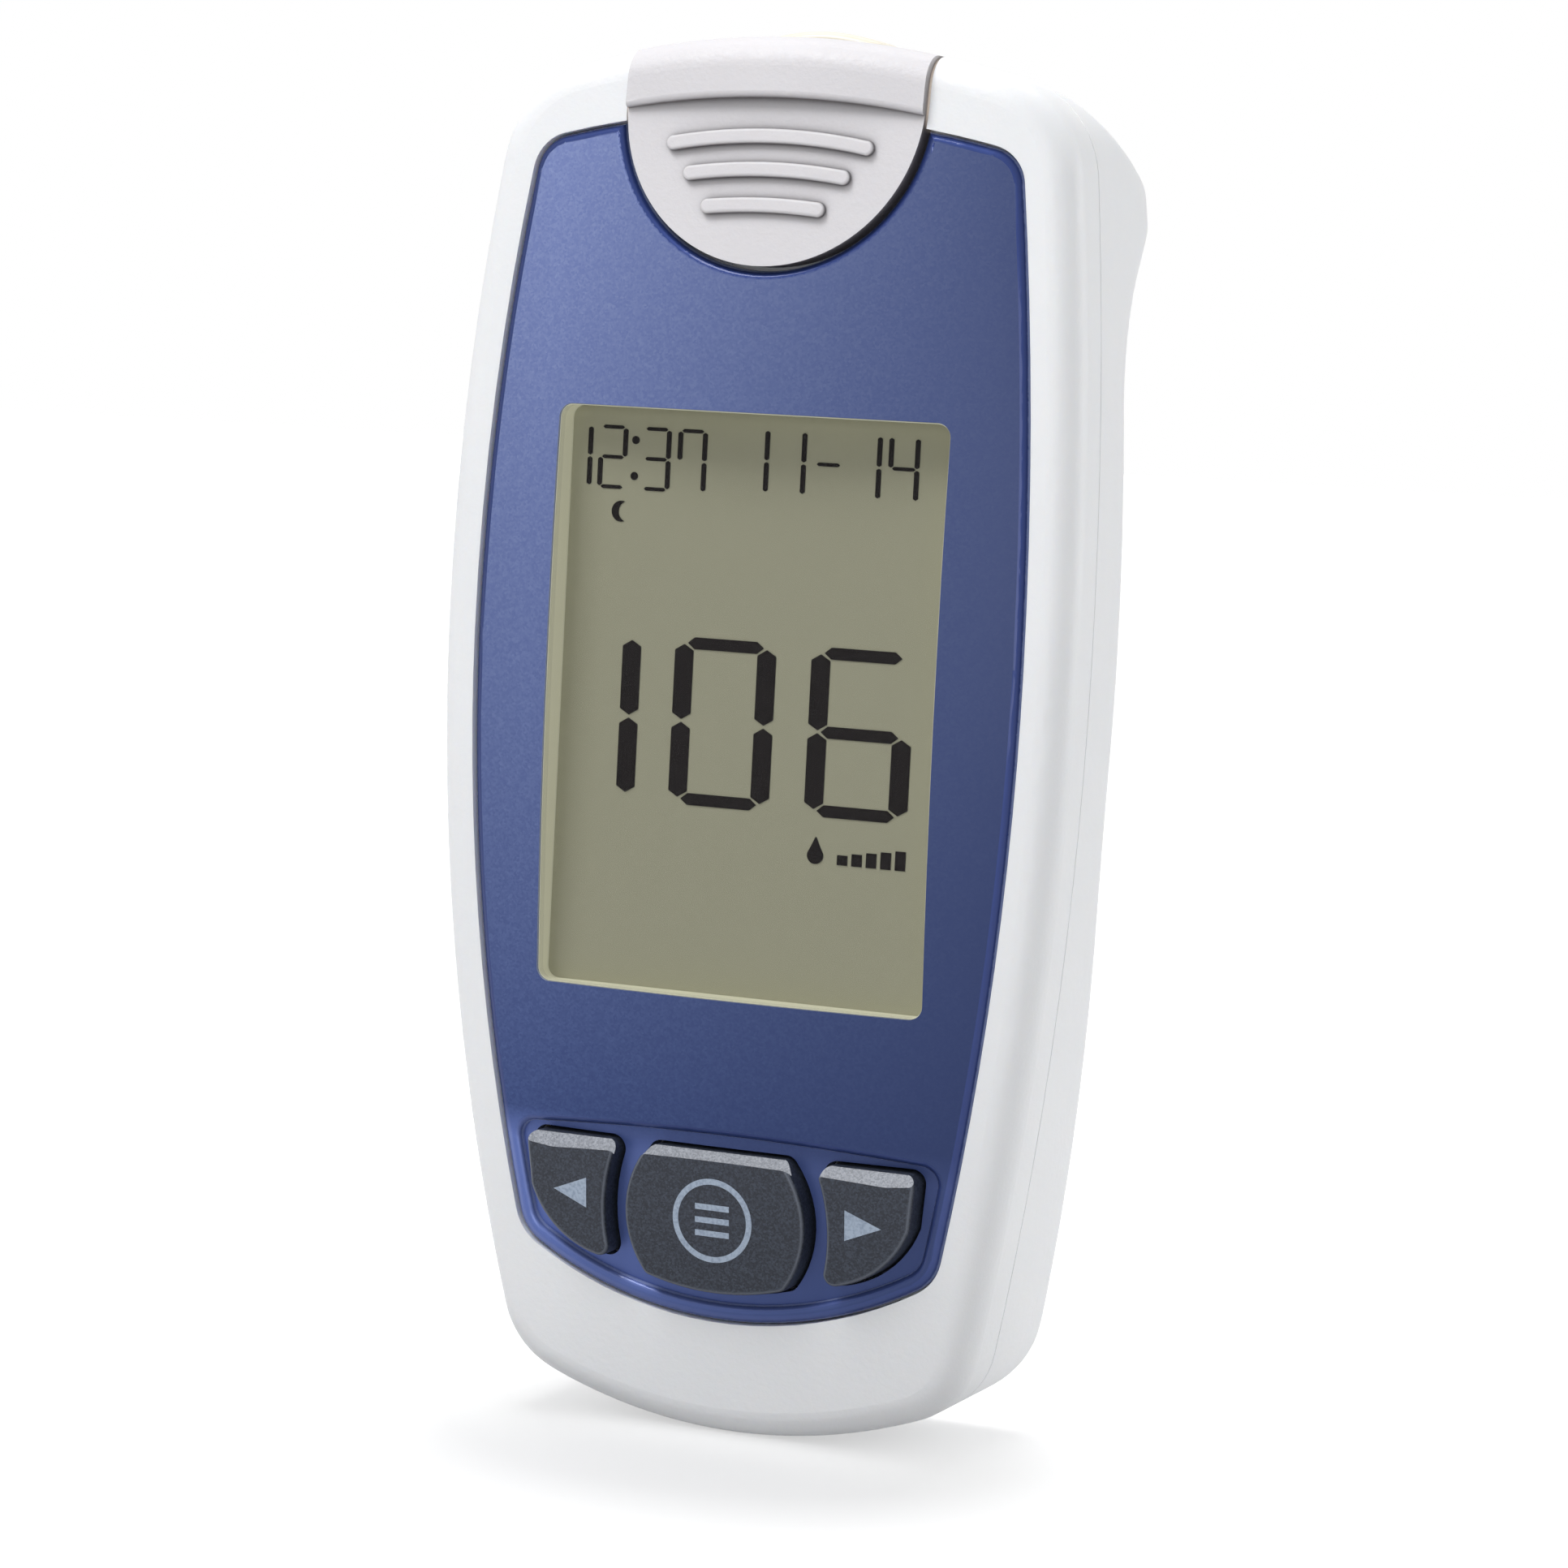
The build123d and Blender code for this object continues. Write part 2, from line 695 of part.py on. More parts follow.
def key_cap(outline, skirt, core, stem_x, stem_z):
    """Key cap with a crowned top, a retaining skirt and a hollow back with a stem."""
    with BuildPart() as cap:
        add(prism(outline, -4, key_back))
        add(key_crown(-key_stand), mode=Mode.INTERSECT)
        fillet(cap.faces().sort_by(Axis.Y)[0].edges(), radius=0.35)
        with BuildSketch(Plane.YZ):
            with Locations((deep(0.65), 21.1)):
                Rectangle(2.6, 1.2, rotation=-38)
        extrude(amount=30, both=True, mode=Mode.SUBTRACT)
        with BuildPart(mode=Mode.PRIVATE) as flange:
            add(prism(skirt, 3, key_back))
            add(behind_arc(panel_back + floor_under_panel + 0.3), mode=Mode.INTERSECT)
        add(flange.part)
        add(prism(core, 4.2, 8), mode=Mode.SUBTRACT)
        post(stem_x, stem_z, 1.5, 4.0, key_back)
    return cap.part


with BuildPart() as centre_button:
    add(
        key_cap(
            centre_key_outline(0), centre_key_outline(key_flange), centre_key_outline(-1.1), 0, key_z
        )
    )
centre_button.part.label = "centre_button"
export_step(centre_button.part, "parts/centre_button.step")

with BuildPart() as right_button:
    add(
        key_cap(
            side_key_outline(0, 1),
            side_key_outline(key_flange, 1),
            side_key_outline(-1.1, 1),
            11.4,
            17.2,
        )
    )
right_button.part.label = "right_button"
export_step(right_button.part, "parts/right_button.step")

with BuildPart() as left_button:
    add(
        key_cap(
            side_key_outline(0, -1),
            side_key_outline(key_flange, -1),
            side_key_outline(-1.1, -1),
            -11.4,
            17.2,
        )
    )
left_button.part.label = "left_button"
export_step(left_button.part, "parts/left_button.step")

# Rubber switch mat with one pip under each key
pip_top = key_back + key_travel + 0.05
with BuildPart() as key_mat:
    slab(-15.8, 15.8, 8.4, board_front, 9.8, 22.2)
    fillet(key_mat.edges().filter_by(Axis.Y), radius=1.5)
    for x, z in ((0, key_z), (11.4, 17.2), (-11.4, 17.2)):
        post(x, z, 1.7, pip_top, 8.4)
key_mat.part.label = "key_mat"
export_step(key_mat.part, "parts/key_mat.step")

# Circuit board with a tongue for the strip connector
with BuildPart() as circuit_board:
    slab(6.3 - half_width, half_width - 6.3, board_front, board_rear, 8.6, body_height - 17.8)
    add(prism(body_outline(wall + 0.5), 0, 20), mode=Mode.INTERSECT)
    slab(-6.4, 6.4, board_front, board_rear, body_height - 18, body_height - 10.4)
    for x, z in housing_screw_places:
        post(x, z, 2.5, 5, 15, mode=Mode.SUBTRACT)
    for x in (-board_post_x, board_post_x):
        post(x, board_post_z, 0.9, 5, 15, mode=Mode.SUBTRACT)
circuit_board.part.label = "circuit_board"
export_step(circuit_board.part, "parts/circuit_board.step")

with BuildPart() as board_chips:
    slab(-10.5, -3.5, board_rear, board_rear + 1.0, 58, 65)
    slab(2.5, 7.5, board_rear, board_rear + 0.9, 62, 66)
    slab(10.0, 13.2, board_rear, board_rear + 1.2, 57, 58.5)
board_chips.part.label = "board_chips"
export_step(board_chips.part, "parts/board_chips.step")

with BuildPart() as board_parts:
    with Locations((-7, deep(board_rear + 0.3), 52.5)):
        with GridLocations(3.2, 1, 4, 1):
            Box(1.6, 0.6, 0.8)
    with Locations((5, deep(board_rear + 0.3), 70)):
        with GridLocations(3.0, 1, 5, 1):
            Box(1.6, 0.6, 0.8)
board_parts.part.label = "board_parts"
export_step(board_parts.part, "parts/board_parts.step")

with BuildPart() as buzzer:
    post(10.0, 47.0, 4.5, board_rear, board_rear + 1.6)
    post(10.0, 47.0, 0.7, board_rear + 1.0, board_rear + 3, mode=Mode.SUBTRACT)
buzzer.part.label = "buzzer"
export_step(buzzer.part, "parts/buzzer.step")

with BuildPart() as board_screws:
    for x in (-board_post_x, board_post_x):
        post(x, board_post_z, 0.75, board_rear - 3.4, board_rear)
        post(x, board_post_z, 1.5, board_rear, board_rear + 1.0)
        post(x, board_post_z, 0.45, board_rear + 0.5, board_rear + 2, mode=Mode.SUBTRACT)
board_screws.part.label = "board_screws"
export_step(board_screws.part, "parts/board_screws.step")

# Strip connector on the rear of the tongue, with its contact springs
socket_low = body_height - 16.8
socket_high = body_height - 10.4
slot_front = strip_depth - strip_slot_thickness / 2
slot_rear = strip_depth + strip_slot_thickness / 2
with BuildPart() as strip_socket:
    slab(-5.8, 5.8, board_rear, 13.5, socket_low, socket_high)
    slab(
        -strip_slot_width / 2,
        strip_slot_width / 2,
        slot_front,
        slot_rear,
        socket_low - 1,
        socket_high + 1,
        mode=Mode.SUBTRACT,
    )
    for x in (-2.0, -0.67, 0.67, 2.0):
        slab(
            x - 0.35,
            x + 0.35,
            board_rear - 1,
            slot_front,
            socket_low - 1,
            socket_high - 1,
            mode=Mode.SUBTRACT,
        )
strip_socket.part.label = "strip_socket"
export_step(strip_socket.part, "parts/strip_socket.step")

with BuildPart() as strip_contacts:
    for x in (-2.0, -0.67, 0.67, 2.0):
        slab(x - 0.25, x + 0.25, board_rear, board_rear + 0.5, socket_low - 0.2, socket_high - 1.3)
        slab(x - 0.25, x + 0.25, board_rear + 0.5, slot_front + 0.15, socket_high - 2.1, socket_high - 1.3)
strip_contacts.part.label = "strip_contacts"
export_step(strip_contacts.part, "parts/strip_contacts.step")

# Nozzle through which the strip enters
with BuildPart() as strip_guide:
    with BuildSketch(Plane.XZ.offset(-deep(strip_depth - nozzle_thickness / 2))):
        with BuildLine():
            Polyline(
                (-nozzle_width / 2, body_height),
                (-nozzle_width / 2, socket_high + 0.1),
                (nozzle_width / 2, socket_high + 0.1),
                (nozzle_width / 2, body_height),
            )
            ThreePointArc(
                (nozzle_width / 2, body_height),
                (0, body_height + nozzle_rise),
                (-nozzle_width / 2, body_height),
            )
        make_face()
    extrude(amount=-nozzle_thickness)
    fillet(strip_guide.edges().filter_by(Axis.Z), radius=1.2)
    fillet(strip_guide.faces().sort_by(Axis.Z)[-1].edges(), radius=0.6)
    slab(
        -strip_slot_width / 2,
        strip_slot_width / 2,
        slot_front,
        slot_rear,
        body_height - 12,
        body_height + 3,
        mode=Mode.SUBTRACT,
    )
strip_guide.part.label = "strip_guide"
export_step(strip_guide.part, "parts/strip_guide.step")

# Strip ejector: thumb pad with ribs and a bar that runs over the top edge
lip_z = body_height - 4.3
scoop_low = (0.5, body_height - 17.2)
scoop_high = (2.2, lip_z - 2.0)
rib_places = [(body_height - 6.95, 7.2), (body_height - 9.25, 5.7), (body_height - 11.7, 4.1)]
rib_half = 0.52
with BuildPart() as thumb_ribs:
    with BuildSketch(Plane.XZ.offset(-deep(-2))):
        for z, half in rib_places:
            end_z = z - half * half / 80
            with BuildLine():
                ThreePointArc((-half, end_z + rib_half), (0, z + rib_half), (half, end_z + rib_half))
                ThreePointArc(
                    (half, end_z + rib_half), (half + rib_half, end_z), (half, end_z - rib_half)
                )
                ThreePointArc((half, end_z - rib_half), (0, z - rib_half), (-half, end_z - rib_half))
                ThreePointArc(
                    (-half, end_z - rib_half), (-half - rib_half, end_z), (-half, end_z + rib_half)
                )
            make_face()
    extrude(amount=-8)
    with BuildSketch(Plane.YZ):
        with BuildLine():
            Polyline(
                (deep(scoop_low[0] - 0.5), scoop_low[1]),
                (deep(scoop_low[0] + 0.5), scoop_low[1]),
                (deep(scoop_high[0] + 0.5), scoop_high[1]),
                (deep(scoop_high[0] - 0.5), scoop_high[1]),
                close=True,
            )
        make_face()
    extrude(amount=12, both=True, mode=Mode.INTERSECT)
    for rib in thumb_ribs.solids():
        fillet(rib.faces().sort_by(Axis.Y)[0].edges(), radius=0.2)
with BuildPart() as strip_ejector:
    add(body_form.part.moved(Location((0, -ejector_proud, 0))))
    add(prism(ejector_outline(ejector_radius - ejector_gap), -4, 9.3), mode=Mode.INTERSECT)
    with BuildPart(mode=Mode.PRIVATE) as slider_hollow:
        add(prism(body_outline(wall), -6, 20))
        add(behind_arc(ejector_skin), mode=Mode.INTERSECT)
    add(slider_hollow.part, mode=Mode.SUBTRACT)
    with BuildPart(mode=Mode.PRIVATE) as thumb_scoop:
        with BuildSketch(Plane.XZ.offset(-deep(-4))):
            with BuildLine():
                ThreePointArc((-16, lip_z - 2.0), (0, lip_z), (16, lip_z - 2.0))
                Polyline((16, lip_z - 2.0), (16, 60), (-16, 60), (-16, lip_z - 2.0))
            make_face()
        extrude(amount=-14)
        with BuildSketch(Plane.YZ):
            with BuildLine():
                Polyline(
                    (front_y - 3, lip_z + 2),
                    (deep(2.7), lip_z + 2),
                    (deep(scoop_high[0]), scoop_high[1]),
                    (deep(scoop_low[0]), scoop_low[1]),
                    (front_y - 3, scoop_low[1]),
                    close=True,
                )
            make_face()
        extrude(amount=20, both=True, mode=Mode.INTERSECT)
    add(thumb_scoop.part, mode=Mode.SUBTRACT)
    lip_edge = strip_ejector.edges().sort_by_distance((0, front_y, lip_z))[0]
    fillet(lip_edge, radius=0.4)
    add(thumb_ribs.part)
    post(0, slot_low_z, 2.2, 3.0, carriage_front)
    post(0, slot_low_z, screw_shank / 2 + screw_hole_gap, 3.9, 6.0, mode=Mode.SUBTRACT)
strip_ejector.part.label = "strip_ejector"
export_step(strip_ejector.part, "parts/strip_ejector.step")

# Inner half of the ejector; its finger pushes the end of the strip
with BuildPart() as ejector_carriage:
    slab(-5.5, 5.5, carriage_front, carriage_rear, body_height - 15.9, body_height - 7.9)
    slab(-9.6, 9.6, carriage_front, carriage_rear, body_height - 15.9, body_height - 12.4)
    for x in (-8.1, 8.1):
        slab(x - 0.8, x + 0.8, carriage_rear, 12.0, body_height - 15.9, body_height - 12.4)
        slab(x - 0.8, x + 0.8, 10.3, 12.0, body_height - 21.6, body_height - 12.4)
    slab(-8.9, 8.9, 10.3, 12.0, body_height - 21.6, body_height - 20.2)
    slab(-1.2, 1.2, 11.4, 12.0, body_height - 21.6, body_height - 17.2)
    post(0, slot_low_z, screw_shank / 2 + screw_hole_gap, 5, 8, mode=Mode.SUBTRACT)
ejector_carriage.part.label = "ejector_carriage"
export_step(ejector_carriage.part, "parts/ejector_carriage.step")

with BuildPart() as ejector_screw:
    post(0, slot_low_z, screw_shank / 2, 4.0, carriage_rear)
    post(0, slot_low_z, 1.7, carriage_rear, carriage_rear + 1.0)
    post(0, slot_low_z, 0.5, carriage_rear + 0.5, 9, mode=Mode.SUBTRACT)
ejector_screw.part.label = "ejector_screw"
export_step(ejector_screw.part, "parts/ejector_screw.step")

# Two return springs between the carriage shoulders and the top of the shell
spring_low = body_height - 12.35
spring_high = body_height - 4.35
with BuildPart() as ejector_springs:
    for x in (-7.6, 7.6):
        with BuildLine() as coil:
            Helix(
                pitch=(spring_high - spring_low - 0.4) / 6,
                height=spring_high - spring_low - 0.4,
                radius=1.1,
                center=(x, deep(7.3), spring_low + 0.2),
            )
        with BuildSketch(Plane(coil.line @ 0, z_dir=coil.line % 0)):
            RegularPolygon(radius=0.2, side_count=6)
        sweep(path=coil.line, is_frenet=True)
ejector_springs.part.label = "ejector_springs"
export_step(ejector_springs.part, "parts/ejector_springs.step")

# Coin cell on the ramp plane
with BuildPart() as coin_cell:
    with Locations(ramp * Pos(0, 0, cell_top - cell_thickness / 2)):
        Cylinder(cell_diameter / 2, cell_thickness)
    chamfer(coin_cell.edges().filter_by(GeomType.CIRCLE), length=0.3)
coin_cell.part.label = "coin_cell"
export_step(coin_cell.part, "parts/coin_cell.step")

# Contacts of the cell
with BuildPart() as battery_minus:
    ramp_box(1.5, -7.0, 7.0, pocket_floor, pocket_floor + 0.25)
battery_minus.part.label = "battery_minus"
export_step(battery_minus.part, "parts/battery_minus.step")

with BuildPart() as battery_plus:
    ramp_box(0.15, -3.5, 3.5, pocket_floor, cell_top, x_middle=cell_diameter / 2 + 0.5)
    ramp_box(0.3, -3.5, 3.5, pocket_floor, pocket_floor + 0.25, x_middle=cell_diameter / 2 + 0.6)
battery_plus.part.label = "battery_plus"
export_step(battery_plus.part, "parts/battery_plus.step")

# Hinged door over the cell
with BuildPart() as battery_door:
    ramp_box(door_width / 2, hinge_y, door_end, -door_thickness, 0)
    for y in (door_end - 6.5, door_end - 4.7, door_end - 2.9):
        ramp_box(5.0, y - 0.3, y + 0.3, -0.35, 0.5, mode=Mode.SUBTRACT)
    with Locations(ramp * Pos(0, hinge_y, hinge_z)):
        Cylinder(hinge_radius, door_width, rotation=(0, 90, 0))
        Cylinder(pin_radius, door_width + 2.6, rotation=(0, 90, 0))
    ramp_box(2.5, door_end - 0.9, door_end, -3.4, -door_thickness)
    ramp_box(2.5, door_end - 0.1, door_end + 0.15, -3.4, -2.7)
battery_door.part.label = "battery_door"
export_step(battery_door.part, "parts/battery_door.step")

# Screws that close the shells
with BuildPart() as housing_screws:
    for x, z in housing_screw_places:
        post(x, z, screw_shank / 2, 6.6, boss_end + screw_web)
        post(x, z, screw_head_radius, boss_end + screw_web, boss_end + screw_web + screw_head_height)
        post(x, z, 0.6, boss_end + screw_web + 0.7, body_depth, mode=Mode.SUBTRACT)
housing_screws.part.label = "housing_screws"
export_step(housing_screws.part, "parts/housing_screws.step")
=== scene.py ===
# %% [markdown]
# # Finishing a blood glucose meter
# The hard parts of this meter already exist as packed, dimensioned solids: two white shells, a blue face
# plate, a display, three keys, a sliding strip ejector and everything inside. This lesson gives them
# their looks. A solid whose shape is right only gets a material. Printed marks, display figures,
# screws, springs and the coin cell are modelled here, because their detail is small.
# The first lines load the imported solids. They are a fixed frame: nothing in it is moved or reshaped.

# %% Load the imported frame
import json
import math

import bmesh
import bpy
from mathutils import Matrix, Vector
from mathutils.bvhtree import BVHTree

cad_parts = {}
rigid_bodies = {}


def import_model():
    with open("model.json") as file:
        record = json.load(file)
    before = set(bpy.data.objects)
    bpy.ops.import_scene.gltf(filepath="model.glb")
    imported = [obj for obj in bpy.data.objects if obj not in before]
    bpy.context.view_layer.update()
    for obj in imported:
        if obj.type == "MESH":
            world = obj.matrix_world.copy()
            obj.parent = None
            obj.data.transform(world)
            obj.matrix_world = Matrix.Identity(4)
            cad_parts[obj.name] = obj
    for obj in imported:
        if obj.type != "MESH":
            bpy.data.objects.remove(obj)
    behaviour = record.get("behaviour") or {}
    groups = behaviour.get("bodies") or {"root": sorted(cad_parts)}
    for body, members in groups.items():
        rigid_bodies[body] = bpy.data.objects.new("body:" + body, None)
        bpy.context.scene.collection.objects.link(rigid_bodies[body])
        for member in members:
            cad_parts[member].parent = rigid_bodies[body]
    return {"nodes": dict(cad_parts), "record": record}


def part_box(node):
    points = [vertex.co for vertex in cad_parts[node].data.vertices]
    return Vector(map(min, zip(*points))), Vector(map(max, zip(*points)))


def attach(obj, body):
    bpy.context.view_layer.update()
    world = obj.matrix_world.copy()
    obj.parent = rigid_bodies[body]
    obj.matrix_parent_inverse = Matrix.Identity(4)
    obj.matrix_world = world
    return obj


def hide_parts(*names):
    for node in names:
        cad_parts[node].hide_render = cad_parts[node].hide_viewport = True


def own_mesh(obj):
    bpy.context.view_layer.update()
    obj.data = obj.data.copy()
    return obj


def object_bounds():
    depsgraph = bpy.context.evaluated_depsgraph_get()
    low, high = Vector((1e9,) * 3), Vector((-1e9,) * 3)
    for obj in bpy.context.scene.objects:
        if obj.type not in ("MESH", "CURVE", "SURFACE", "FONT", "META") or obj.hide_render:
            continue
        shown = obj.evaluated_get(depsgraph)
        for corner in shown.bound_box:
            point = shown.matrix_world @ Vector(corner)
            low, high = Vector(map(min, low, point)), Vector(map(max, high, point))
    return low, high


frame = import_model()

scene = bpy.context.scene
MM = 0.001
cad_low, cad_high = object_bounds()
print("packed nodes:", len(frame["nodes"]), "box in mm:", [round(v / MM, 1) for v in cad_high - cad_low])

# %% [markdown]
# ## The camera
# A product shot of a hand-held thing looks calm with a long lens, which keeps parallel edges nearly
# parallel. The camera is described as a photographer would say it: how far away, how far round to the
# right, how high, and how much the frame is rolled. A rotation could also be typed in as angles, but
# a view direction and a roll are easier to reason about.

# %% Camera
LENS_MM = 105.0
SENSOR_MM = 36.0
CAMERA_DISTANCE = 320 * MM
CAMERA_ROUND = math.radians(22.79)
CAMERA_UP = math.radians(5.03)
CAMERA_ROLL = math.radians(2.95)
CAMERA_AIM = Vector((2.2 * MM, -5.7 * MM, 46.7 * MM))

forward = Vector((
    -math.sin(CAMERA_ROUND) * math.cos(CAMERA_UP),
    math.cos(CAMERA_ROUND) * math.cos(CAMERA_UP),
    -math.sin(CAMERA_UP),
))
level_right = Vector((math.cos(CAMERA_ROUND), math.sin(CAMERA_ROUND), 0))
level_up = level_right.cross(forward)
camera_right = level_right * math.cos(CAMERA_ROLL) + level_up * math.sin(CAMERA_ROLL)
camera_up = camera_right.cross(forward)

camera_data = bpy.data.cameras.new("product_lens")
camera_data.lens = LENS_MM
camera_data.sensor_width = SENSOR_MM
camera_data.clip_start = 10 * MM
camera_data.clip_end = 20
camera = bpy.data.objects.new("product_camera", camera_data)
camera.matrix_world = Matrix.Translation(CAMERA_AIM - forward * CAMERA_DISTANCE) @ (
    Matrix((camera_right, camera_up, -forward)).transposed().to_4x4()
)
scene.collection.objects.link(camera)
scene.camera = camera
print("camera stands at", [round(v / MM) for v in camera.matrix_world.translation], "mm")

# %% [markdown]
# ## Small helpers for every material
# Designers pick colours as sRGB hex codes, while shaders calculate in linear light, so one function
# converts them. Another one adds a node, sets its properties and wires or fills its inputs, which
# keeps each material down to a few readable lines. Pattern sizes are given in real millimetres.


# %% Colour and node helpers
def paint(hex_code):
    """Linear RGBA for an sRGB hex colour."""
    channels = [int(hex_code[start:start + 2], 16) / 255 for start in (1, 3, 5)]
    linear = [c / 12.92 if c <= 0.04045 else ((c + 0.055) / 1.055) ** 2.4 for c in channels]
    return (*linear, 1.0)


def cycles_for(size_mm):
    """Texture scale at which one feature is about size_mm wide."""
    return 1 / (size_mm * MM)


def add(tree, kind, inputs=None, **settings):
    """Adds a node; an input is a number, a colour or another node's socket."""
    node = tree.nodes.new(kind)
    for name, value in settings.items():
        setattr(node, name, value)
    for name, value in (inputs or {}).items():
        if isinstance(value, bpy.types.NodeSocket):
            tree.links.new(value, node.inputs[name])
        else:
            node.inputs[name].default_value = value
    return node


def start_material(name, **sockets):
    """A new material with its Principled shader's plain sockets set."""
    material = bpy.data.materials.new(name)
    material.use_nodes = True
    tree = material.node_tree
    shader = tree.nodes["Principled BSDF"]
    for socket, value in sockets.items():
        shader.inputs[socket.replace("_", " ")].default_value = value
    place = add(tree, "ShaderNodeTexCoord").outputs["Object"]
    return material, tree, shader, place


def connect(tree, shader, **sources):
    """Wires other nodes' sockets into a shader's inputs, which are named as keywords."""
    for socket, source in sources.items():
        tree.links.new(source, shader.inputs[socket.replace("_", " ")])


# The numbers of a Mix node's two colour inputs and of its colour output.
MIX_A, MIX_B, MIX_COLOUR = 6, 7, 2
print("helpers ready; 50% grey is", round(paint("#808080")[0], 3), "in linear light")

# %% [markdown]
# ## Moulded plastics
# Most of a meter is injection moulded ABS. A new ABS part is never one flat value: the pigment drifts a
# little, and the steel mould was spark eroded, which leaves a fine leather of tiny pits that breaks up
# reflections. So one recipe mixes two close tints with slow noise, varies roughness with the pits,
# and lets a fine noise push the surface in and out by a few microns. White ABS is also a little milky:
# light seeps through its edges and warms the seams a little, which subsurface scattering does. Their full
# beige at the strip end is a painted glow, added further down.


# %% Recipe for a moulded plastic
SHEEN_DRIFT = 0.05
MILKY_DEPTH = 0.7 * MM
MILKY_REACH = (1.0, 0.8, 0.62)     # red light wanders furthest, so thin edges look warm


def moulded_plastic(name, tint, shade, roughness, pit_mm, pit_depth_mm, ior=1.53, drift_mm=9.0, milky=0.0):
    """Injection moulded plastic with pigment drift and a spark-eroded skin; milky lets light seep in."""
    material, tree, shader, place = start_material(name, IOR=ior)
    shader.inputs["Subsurface Weight"].default_value = milky
    shader.inputs["Subsurface Radius"].default_value = MILKY_REACH
    shader.inputs["Subsurface Scale"].default_value = MILKY_DEPTH
    drift = add(tree, "ShaderNodeTexNoise", {"Vector": place, "Scale": cycles_for(drift_mm), "Detail": 3.0})
    pits = add(tree, "ShaderNodeTexNoise", {
        "Vector": place, "Scale": cycles_for(pit_mm), "Detail": 2.0, "Roughness": 0.6,
    })
    colour = add(tree, "ShaderNodeMix", {
        "Factor": drift.outputs["Fac"], MIX_A: paint(shade), MIX_B: paint(tint),
    }, data_type="RGBA")
    dull = add(tree, "ShaderNodeMapRange", {
        "Value": pits.outputs["Fac"], "From Min": 0.3, "From Max": 0.7,
        "To Min": roughness - SHEEN_DRIFT, "To Max": roughness + SHEEN_DRIFT,
    })
    skin = add(tree, "ShaderNodeBump", {
        "Height": pits.outputs["Fac"], "Distance": pit_depth_mm * MM, "Strength": 1.0,
    })
    connect(
        tree, shader, Base_Color=colour.outputs[MIX_COLOUR], Roughness=dull.outputs["Result"],
        Normal=skin.outputs["Normal"],
    )
    return material


# Shell: cool white ABS from a finely eroded mould; the eye sees satin with a barely rough edge of light.
white_shell = moulded_plastic("abs_white_satin", "#f1f2f4", "#eaecef", 0.46, 0.5, 0.026, milky=0.2)
# Ejector: the same ABS from another mould, a touch more lilac and eroded coarser, so it grips a thumb.
lilac_slider = moulded_plastic("abs_lilac_white_grip", "#dbd9dc", "#d2d0d4", 0.5, 0.42, 0.036, milky=0.15)
# Strip nozzle: natural polycarbonate blend, slightly yellower and smoother than the shells.
ivory_nozzle = moulded_plastic("pc_ivory_smooth", "#e9e3d3", "#e0d9c6", 0.34, 0.3, 0.004)
# Display frame, switch mat and foam: inner parts, plain but not identical in sheen.
grey_frame = moulded_plastic("pc_grey_frame", "#8d9196", "#83878c", 0.42, 0.4, 0.006)
silicone = moulded_plastic("silicone_grey_pressed", "#a4a8ab", "#9a9ea1", 0.62, 0.6, 0.012, ior=1.41)
foam = moulded_plastic("pu_foam_black_diecut", "#1c1d1f", "#131416", 0.9, 0.12, 0.03, ior=1.45)
epoxy_black = moulded_plastic("epoxy_black_moulded", "#2a2b2d", "#202123", 0.55, 0.15, 0.008)
ceramic = moulded_plastic("alumina_tan_fired", "#b39a78", "#a88e6b", 0.38, 0.1, 0.004, ior=1.76, drift_mm=1.2)
print("materials so far:", len(bpy.data.materials))

# %% [markdown]
# ## Painted shade and glow in corners
# Under the lip and along the ribs of the thumb part, shade is painted into the finish: an occlusion
# node measures how shut in a point is, and the finish turns greyer there. Painted by hand, that shade
# would not follow the form. The same measure finds the seams at the strip end, where a painted warm
# glow keeps the gap beside the slider from going black.


# %% Painted shade in inner corners
# An open point has an occlusion value of 1. These pairs say where an effect starts and where it is full.
SHADE_STARTS, SHADE_FULL = 0.92, 0.45
GAP_GLOW_STARTS, GAP_GLOW_FULL = 0.42, 0.12
GAP_GLOW_RISE_MM = 1.5


def paint_shade_in_corners(material, reach_mm, tone):
    """Paints shade: lets a finish go towards a greyer tone wherever nearby surfaces shut it in."""
    tree = material.node_tree
    shader = tree.nodes["Principled BSDF"]
    clean = shader.inputs["Base Color"].links[0].from_socket
    shut_in = add(tree, "ShaderNodeAmbientOcclusion", {"Distance": reach_mm * MM}, samples=12)
    amount = add(tree, "ShaderNodeMapRange", {
        "Value": shut_in.outputs["AO"], "From Min": SHADE_STARTS, "From Max": SHADE_FULL,
    })
    corner_shaded = add(tree, "ShaderNodeMix", {
        "Factor": amount.outputs["Result"], MIX_A: clean, MIX_B: paint(tone),
    }, data_type="RGBA")
    connect(tree, shader, Base_Color=corner_shaded.outputs[MIX_COLOUR])


